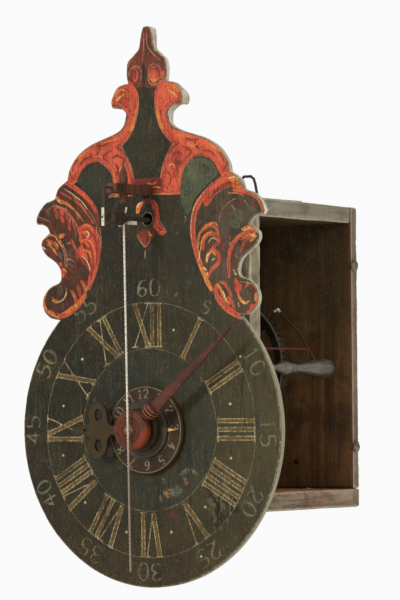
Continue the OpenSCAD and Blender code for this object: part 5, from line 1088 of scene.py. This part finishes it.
# ---------------------------------------------------------------- case boards, worn
def worn_board(node, name, body, mats, pick, voxel=1.7, r=1.5, seed=0, warp=.30):
    src = NODE[node]
    tmp = bpy.data.objects.new(name + "_tmp", src.data.copy())
    bpy.context.scene.collection.objects.link(tmp)
    md = tmp.modifiers.new("remesh", "REMESH")
    md.mode, md.voxel_size = "VOXEL", voxel / 1000
    dg = bpy.context.evaluated_depsgraph_get()
    me = bpy.data.meshes.new_from_object(tmp.evaluated_get(dg))
    bpy.data.objects.remove(tmp)
    V = np.zeros(len(me.vertices) * 3, np.float32)
    me.vertices.foreach_get("co", V)
    V = V.reshape(-1, 3).astype(float) * 1000
    lo, hi = (np.array(c) * 1000 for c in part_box(node))
    V = np.clip(V, lo, hi)
    for ax in range(3):                         # snap the skin back to the true faces
        for f in (lo[ax], hi[ax]):
            near = np.abs(V[:, ax] - f) < voxel * .55
            V[near, ax] = f
    a = np.minimum(V - lo, hi - V)
    edge = np.sort(a, 1)[:, 1]
    nz = np.array([noise.noise(Vector((p[0] * .035 + seed, p[1] * .035, p[2] * .035))) for p in V])
    nf = np.array([noise.noise(Vector((p[0] * .22 + seed, p[1] * .22, p[2] * .22))) for p in V])
    rad = np.clip(r * (1 + .7 * nz + .9 * np.maximum(nf, 0)), .5, 4.0)
    q = np.minimum(np.maximum(V, lo + rad[:, None]), hi - rad[:, None])
    d = V - q
    L = np.linalg.norm(d, axis=1)
    out = L > rad
    V[out] = q[out] + d[out] * (rad[out] / L[out])[:, None]
    c = (lo + hi) / 2
    push = (warp * (.5 + .9 * nz) + .12 * nf)
    thin = np.argmin(hi - lo)
    near = a[:, thin] < 2.0
    V[near, thin] -= np.sign(V[near, thin] - c[thin]) * np.clip(push[near], 0, .8)
    F = [tuple(p.vertices) for p in me.polygons]
    bpy.data.meshes.remove(me)
    idx = []
    C = np.array([V[list(f)].mean(0) for f in F])
    for cc in C:
        idx.append(pick(cc, lo, hi))
    o = make(name, V / 1000, F, body, (node,), mats, index=idx)
    attribute(o, "edge", edge)
    crisp(o, 60)
    print(name, len(V), "verts")
    return o


def by_side(c, lo, hi, inner, x_end=0, other=1, inside_=2):
    """Material number: right and left ends, the face towards the inside, everything else."""
    if c[0] > hi[0] - 1.2 or c[0] < lo[0] + 1.2:
        return x_end
    return inside_ if inner(c) else other


def build_boards():
    top_in = lambda c: c[2] < 189
    bot_in = lambda c: c[2] > -58
    back_in = lambda c: c[1] < 180 - DEPTH + 1.0
    def front_pick(c, lo, hi):
        if c[1] < lo[1] + 1.2 and c[0] > 60:
            return 3
        return by_side(c, lo, hi, lambda q: q[1] > 27 - DEPTH)
    worn_board("case_top_board", "top_board", "case", (MAT["case_end"], MAT["case_outside"], MAT["inner_dark"]),
               lambda c, lo, hi: by_side(c, lo, hi, top_in), seed=3, r=2.0)
    worn_board("case_bottom_board", "bottom_board", "case", (MAT["base_end"], MAT["case_outside"], MAT["inner_floor"]),
               lambda c, lo, hi: by_side(c, lo, hi, bot_in), seed=11, r=1.8)
    worn_board("case_back_board", "back_board", "case", (MAT["case_back_edge"], MAT["case_outside"], MAT["inner_dark"]),
               lambda c, lo, hi: by_side(c, lo, hi, back_in), seed=23, r=1.6)
    worn_board("case_front_board", "front_board", "case", (MAT["case_front_edge"], MAT["case_outside"], MAT["inner_dark"], MAT["front_face"]),
               front_pick, seed=31, r=1.4)
    worn_board("case_left_board", "left_board", "case", (MAT["case_outside"], MAT["case_outside"], MAT["inner_dark"]),
               lambda c, lo, hi: 2 if c[0] > hi[0] - 1.2 else 1, seed=47, r=1.4, voxel=2.0)


# ---------------------------------------------------------------- alarm disc with its painted hours
def mat_disc():
    g = G("disc_paint", .45)
    co = g.co()
    rag = g.noise(co, 1.6, 3, .65)
    brush = g.noise(g.stretch(co, (1, 1, .2)), 1.4, 4, .65)
    base = g.ramp(g.add(g.noise(co, .06, 4, .6, .4), g.mul(g.math("SUBTRACT", brush, .5), .3)),
                  [(.3, (36, 26, 14)), (.55, (54, 38, 22)), (.75, (76, 54, 33))])
    col = g.mix(g.mul(g.step(g.noise(co, .9, 5, .78), .6, .68), .5), base, (116, 98, 66))
    col = g.mix(g.mul(g.step(g.noise(co, .12, 4, .7, .5), .54, .68), .45), col, (84, 50, 30))
    hgt = g.mul(brush, .5)
    for nm, c1, c2, amp, al in (("pNUM", (130, 114, 76), (184, 168, 126), 1.1, .72), ("pRIM", (120, 104, 70), (170, 152, 108), .9, .6)):
        f = g.add(g.attr(nm), g.mul(g.math("SUBTRACT", rag, .5), amp))
        m = g.mul(g.step(f, -.22, .22), al, g.step(g.noise(co, .4, 5, .7), .62, .50, .25, 1.0))
        col = g.mix(m, col, g.mix(brush, c1, c2))
        hgt = g.add(hgt, g.mul(m, .4))
    e = g.attr("edge")
    rub = g.step(g.add(e, g.mul(g.noise(co, .5, 4, .65), -2.6)), .2, -1.0)
    front = g.step(e, .31, .6)
    col = g.mix(g.mul(rub, g.add(.12, g.mul(front, .55))), col, (140, 122, 88))
    return g.finish(col, g.add(.38, g.mul(rag, .2)), hgt, .18, spec=.12)


def build_alarm_disc():
    num, rim = [], [(.7, [(38.0 * math.sin(t), 38.0 * math.cos(t)) for t in np.linspace(0, 2 * math.pi, 120)]),
                    (.5, [(26.4 * math.sin(t), 26.4 * math.cos(t)) for t in np.linspace(0, 2 * math.pi, 100)])]
    for h in range(1, 13):
        number(str(h), 30 * h - 4, 32.0, 7.8, .75, num, 1.0, .9)
    radii = [9.55, 16, 24] + list(np.arange(24.6, 37.9, .55)) + [38.15]
    prof = [(r, -6.0) for r in radii] + [(38.6, -5.75), (38.9, -5.3), (39.0, -4.4), (39.0, -2.6), (38.8, -1.7), (38.2, -1.0), (24, -1.0), (9.55, -1.0)]
    n = 420
    th = np.linspace(0, 2 * math.pi, n, endpoint=False)
    verts, faces = [], []
    for r, d in prof:
        for t in th:
            k = .10 * noise.noise(Vector((r * .1 * math.cos(t), r * .1 * math.sin(t), 5))) if r > 37 else 0
            verts.append(((r - max(k, 0)) * math.cos(t), d + (.05 * noise.noise(Vector((r * .2 * math.cos(t), r * .2 * math.sin(t), 2))) if d == -6 and r > 10 and r < 38 else 0), (r - max(k, 0)) * math.sin(t)))
    m = len(prof)
    for i in range(m):
        for j in range(n):
            a, b = i * n + j, i * n + (j + 1) % n
            c, d = ((i + 1) % m) * n + (j + 1) % n, ((i + 1) % m) * n + j
            faces.append((a, b, c, d))
    o = make("alarm_disc_painted", [mm(x, d, z) for x, d, z in verts], faces, "alarm_dial", ("alarm_disc",), (mat_disc(),))
    V = np.array(verts)
    P = V[:, (0, 2)]
    front = V[:, 1] < -5.2
    for nm, st in (("pNUM", num), ("pRIM", rim)):
        val = np.full(len(P), -5.0)
        val[front] = layer_field(P[front], st, (), False)
        attribute(o, nm, val)
    attribute(o, "edge", np.where(V[:, 1] < -5.9, 39 - np.hypot(*P.T), .3))
    bm = bmesh.new(); bm.from_mesh(o.data)
    bmesh.ops.recalc_face_normals(bm, faces=bm.faces)
    bm.to_mesh(o.data); bm.free()
    crisp(o, 50)


# ---------------------------------------------------------------- pendulum rod: two strands twisted together
def build_rod():
    z0, L0, L1 = 186.5, 2.4, 311.0
    tilt = math.radians(.8)
    verts, faces = [], []
    n, rings_ = 20, int((L1 - L0) / .62)
    for i in range(rings_ + 1):
        s = L0 + (L1 - L0) * i / rings_
        tw = s / 6.4 * 2 * math.pi
        fat = 1.0 + .05 * math.sin(s * 1.7) + .06 * noise.noise(Vector((s * .3, 0, 0)))
        end = min(1, (s - L0 + .3) / 1.0, (L1 - s + .35) / 1.0)
        for j in range(n):
            t = 2 * math.pi * j / n
            r = (.56 + .48 * abs(math.cos(t)) ** .8) * fat * end
            x, y = r * math.cos(t + tw), r * math.sin(t + tw)
            verts.append((x + s * math.sin(tilt), -36 + y, z0 - s * math.cos(tilt)))
    for i in range(rings_):
        for j in range(n):
            a, b = i * n + j, i * n + (j + 1) % n
            faces.append((a, b, b + n, a + n))
    for base, rev in ((0, False), (rings_ * n, True)):
        f = tuple(base + j for j in range(n))
        faces.append(f[::-1] if rev else f)
    o = make("pendulum_wire", [mm(*v) for v in verts], faces, "pendulum", ("pendulum_rod",), (MAT["pale_wire"],))
    bm = bmesh.new(); bm.from_mesh(o.data)
    bmesh.ops.recalc_face_normals(bm, faces=bm.faces)
    bm.to_mesh(o.data); bm.free()


# ---------------------------------------------------------------- hinge lugs with their wire loops
def tube(verts, faces, index, pts, r, n=10, mat=0, closed=False):
    pts = [Vector(p) for p in pts]
    m = len(pts)
    base = len(verts)
    up = None
    for i, p in enumerate(pts):
        a = pts[(i - 1) % m] if closed or i else pts[0]
        b = pts[(i + 1) % m] if closed or i < m - 1 else pts[-1]
        t = (b - a).normalized()
        if up is None:
            up = t.orthogonal().normalized()
        up = (up - t * up.dot(t)).normalized()
        w_ = t.cross(up)
        k = 1.0 + .12 * noise.noise(p * .9)
        for j in range(n):
            an = 2 * math.pi * j / n
            q = p + (up * math.cos(an) + w_ * math.sin(an)) * r * k
            verts.append((q.x, q.y, q.z))
    for i in range(m if closed else m - 1):
        for j in range(n):
            a, b = base + i * n + j, base + i * n + (j + 1) % n
            c, d = base + ((i + 1) % m) * n + (j + 1) % n, base + ((i + 1) % m) * n + j
            faces.append((a, b, c, d)); index.append(mat)
    if not closed:
        for k, f in ((0, True), (m - 1, False)):
            loop = tuple(base + k * n + j for j in range(n))
            faces.append(loop[::-1] if f else loop); index.append(mat)


def build_ears():
    verts, faces, index = [], [], []
    d_bi = 179.5
    for z in (148.5, -17.5):
        base, nu, nv = len(verts), 56, 36
        cx = 103.0
        for i in range(nv + 1):
            ph = -math.pi / 2 + math.pi * i / nv
            for j in range(nu):
                t = 2 * math.pi * j / nu
                def p_(v, e):
                    return math.copysign(abs(v) ** e, v)
                dx, dy, dz = p_(math.sin(ph), .7), p_(math.cos(ph), .8) * p_(math.cos(t), .8), p_(math.cos(ph), .8) * p_(math.sin(t), .9)
                k = 1 + .16 * noise.noise(Vector((dx * 1.4, dy * 1.4 + z, dz * 1.4))) + .07 * noise.noise(Vector((dx * 5, dy * 5, dz * 5 + z)))
                k = min(k, 1.12)
                verts.append((min(max(cx + 2.1 * dx * k, 101.0), 105.1), d_bi + 3.3 + 4.5 * dy * k, z + 5.1 * min(max(dz * k, -1.02), 1.02)))
        for i in range(nv):
            for j in range(nu):
                a, b = base + i * nu + j, base + i * nu + (j + 1) % nu
                faces.append((a, b, b + nu, a + nu)); index.append(0)
        for k, f in ((0, True), (nv, False)):
            loop = tuple(base + k * nu + j for j in range(nu))
            faces.append(loop[::-1] if f else loop); index.append(0)
        for dy, r, zz in ((-1.6, 2.3, .8), (1.4, 2.1, -.9)):
            tube(verts, faces, index, [(104.3 + .5 * math.cos(a), d_bi + 3.3 + dy + .6 * math.sin(2 * a) + r * .5 * math.cos(a), z + zz + r * math.sin(a))
                                       for a in np.linspace(0, 2 * math.pi, 28, endpoint=False)], .5, 10, 1, True)
        tube(verts, faces, index, [(103.4, d_bi + .3, z + 4.2), (104.4, d_bi + 1.6, z + 2.6), (104.7, d_bi + 3.3, z + .3), (104.4, d_bi + 5.0, z - 2.4),
                                   (103.4, d_bi + 6.4, z - 4.3)], .5, 10, 1)
    o = make("hinge_lugs", [mm(*v) for v in verts], faces, "case", ("door_ears",), (MAT["lug"], MAT["iron_dark"]), index=index)
    bm = bmesh.new(); bm.from_mesh(o.data)
    bmesh.ops.recalc_face_normals(bm, faces=bm.faces)
    bm.to_mesh(o.data); bm.free()


# ---------------------------------------------------------------- minute hand: carved blade with a ridge, turned neck
def build_minute_hand():
    an = math.radians(50)
    s_, c_ = math.sin(an), math.cos(an)
    verts, faces, bead = [], [], []

    def put(u, d, s):
        verts.append((u * c_ + s * s_, d - 26.0, -u * s_ + s * c_))

    def skin(base, rings_, n):
        for i in range(rings_ - 1):
            for j in range(n):
                a, b = base + i * n + j, base + i * n + (j + 1) % n
                faces.append((a, b, b + n, a + n))
        faces.append(tuple(base + j for j in range(n))[::-1])
        faces.append(tuple(base + (rings_ - 1) * n + j for j in range(n)))
    # neck: a spigot in the hub, then three beads
    prof = smooth([(11.2, 2.55), (17.8, 2.6), (18.5, 4.0), (19.2, 5.3), (20.2, 5.7), (21.0, 5.0), (21.5, 4.3), (22.2, 5.9), (23.1, 6.9), (24.0, 6.0), (24.6, 4.9),
                   (25.3, 6.4), (26.2, 7.2), (27.2, 6.3), (27.8, 5.0), (28.4, 6.2), (29.2, 6.8), (30.1, 6.0), (30.9, 4.6), (31.4, 3.2)], 4)
    n = 60
    for s, r in prof:
        for j in range(n):
            t = 2 * math.pi * j / n
            k = 1 + .02 * noise.noise(Vector((math.cos(t) * 2, math.sin(t) * 2, s * .6)))
            put(r * k * math.cos(t), r * k * math.sin(t), s)
            bead.append(max(0.0, min(1.0, (r - 5.6) / 1.2)) if s > 18.4 else 0.0)
    skin(0, len(prof), n)
    base = len(verts)
    S = np.r_[np.linspace(29.6, 136.5, 150), [137.2, 137.7, 138.0]]
    W = np.interp(S, [29.6, 31, 44, 80, 115, 136, 138], [4.6, 5.6, 5.2, 3.9, 2.6, .75, .3])
    sec = [(-1, .9), (-1.0, .2), (-.94, -.55), (-.55, -1.35), (-.12, -2.0), (.12, -2.0), (.55, -1.35), (.94, -.55), (1.0, .2), (1, .9), (.85, 1.6), (.4, 1.95),
           (-.4, 1.95), (-.85, 1.6)]
    for s, w_ in zip(S, W):
        thin = min(1.0, .35 + w_ / 3.0)
        for k, (a, d) in enumerate(sec):
            f = 1 + .05 * noise.noise(Vector((s * .07, k * .7, 2)))
            put(a * w_ * f, (d + .10 * noise.noise(Vector((s * .12, k * .9, 7)))) * thin, s)
            bead.append(.5 if k in (4, 5) else .0)
    skin(base, len(S), len(sec))
    o = make("minute_hand_carved", [mm(*v) for v in verts], faces, "minute", ("minute_hand",), (mat_minute(),))
    attribute(o, "bead", bead)
    bm = bmesh.new(); bm.from_mesh(o.data)
    bmesh.ops.recalc_face_normals(bm, faces=bm.faces)
    bm.to_mesh(o.data); bm.free()
    crisp(o, 42)


def mat_minute():
    g = G("minute_hand_paint", .47)
    co = g.co()
    drift = g.step(g.noise(co, .05, 4, .6, .5), .38, .62)
    col = g.mix(drift, (70, 36, 24), (92, 42, 27))
    brush = g.noise(g.stretch(g.warp(co, 2.0, .05), (.5, 1, .4)), 1.1, 4, .65)
    col = g.gain(col, g.step(brush, .3, .7, .62, 1.4))
    spots = g.step(g.noise(co, .8, 5, .75), .58, .66)
    col = g.mix(g.mul(spots, .5), col, (132, 82, 54))
    grime = g.step(g.noise(co, .2, 5, .65, .3), .50, .64)
    col = g.mix(g.mul(grime, .5), col, (36, 24, 17))
    # lighter colour on the bead tops and along the blade's ridge: rubbed paint, and also a painted highlight on these
    # high points
    rub = g.step(g.add(g.attr("bead"), g.mul(g.math("SUBTRACT", g.noise(co, .9, 3, .6), .5), 1.2)), .45, 1.1)
    col = g.mix(g.mul(rub, .6), col, (164, 106, 72))
    return g.finish(col, g.add(.30, g.mul(brush, .2), g.mul(grime, .15)), g.add(g.mul(brush, .6), g.mul(spots, -.3)), .16, spec=.15)


MAT["lug"] = wood("lug_wood", (74, 62, 48), (116, 102, 82), (152, 138, 116), axis=0, grain=1.4, rough=(.6, .85), deep=.5, dirt=(28, 20, 14), dirt_amount=.7,
                  specks=((140, 120, 94), .4), spec=.12)
build_shield()
build_boards()
build_ears()
build_minute_hand()
build_alarm_disc()
build_rod()

# ---------------------------------------------------------------- floor, light, camera
def flat_mat(name, c, rough):
    g = G(name, 1)
    co = g.co()
    col = g.gain(g.mix(.5, c, c), g.step(g.noise(co, .002, 3), .2, .8, .98, 1.02))
    return g.finish(col, rough)


me = bpy.data.meshes.new("floor")
S = 5.0
me.from_pydata([(-S, -S, -.62), (S, -S, -.62), (S, S, -.62), (-S, S, -.62)], [], [(0, 1, 2, 3)])
me.materials.append(flat_mat("floor_pale", (246, 246, 246), .8))
floor = bpy.data.objects.new("floor", me)
bpy.context.scene.collection.objects.link(floor)


def area(name, loc, target, size, power, color=(1, 1, 1)):
    l = bpy.data.lights.new(name, "AREA")
    l.shape, l.size, l.energy, l.color = "DISK", size, power, color
    o = bpy.data.objects.new(name, l)
    bpy.context.scene.collection.objects.link(o)
    o.location = loc
    o.rotation_euler = (Vector(target) - Vector(loc)).to_track_quat("-Z", "Y").to_euler()


area("key", (-.5, -3.05, 1.2), (0, -.15, .1), .6, 88, (1, .98, .95))
area("side", (2.6, -1.0, .9), (.05, -.1, .08), 1.0, 27, (1, .98, .95))
area("top", (.3, -.6, 2.6), (0, -.1, .1), 1.6, 22)
w = bpy.data.worlds.new("studio")
bpy.context.scene.world = w
w.use_nodes = True
bg = next(n for n in w.node_tree.nodes if n.type == "BACKGROUND")
bg.inputs[0].default_value = (1, 1, 1, 1)
bg.inputs[1].default_value = .96
bpy.context.scene.view_settings.view_transform = "Standard"

AZ, EL, ROLL, F_PX = math.radians(34.369), math.radians(1.864), math.radians(-.504), 3316.97
v = Vector((-math.sin(AZ) * math.cos(EL), math.cos(AZ) * math.cos(EL), math.sin(EL)))
r = v.cross(Vector((0, 0, 1))).normalized()
u = r.cross(v)
r2 = r * math.cos(ROLL) + u * math.sin(ROLL)
u2 = u * math.cos(ROLL) - r * math.sin(ROLL)
cam = bpy.data.cameras.new("camera")
cam.sensor_width = 36
cam.lens = F_PX * 36 / 600
cam.clip_start, cam.clip_end = .05, 60
camera = bpy.data.objects.new("camera", cam)
bpy.context.scene.collection.objects.link(camera)
camera.matrix_world = Matrix(((r2.x, u2.x, -v.x, 1.70284), (r2.y, u2.y, -v.y, -2.59835), (r2.z, u2.z, -v.z, .01903), (0, 0, 0, 1)))
bpy.context.scene.camera = camera
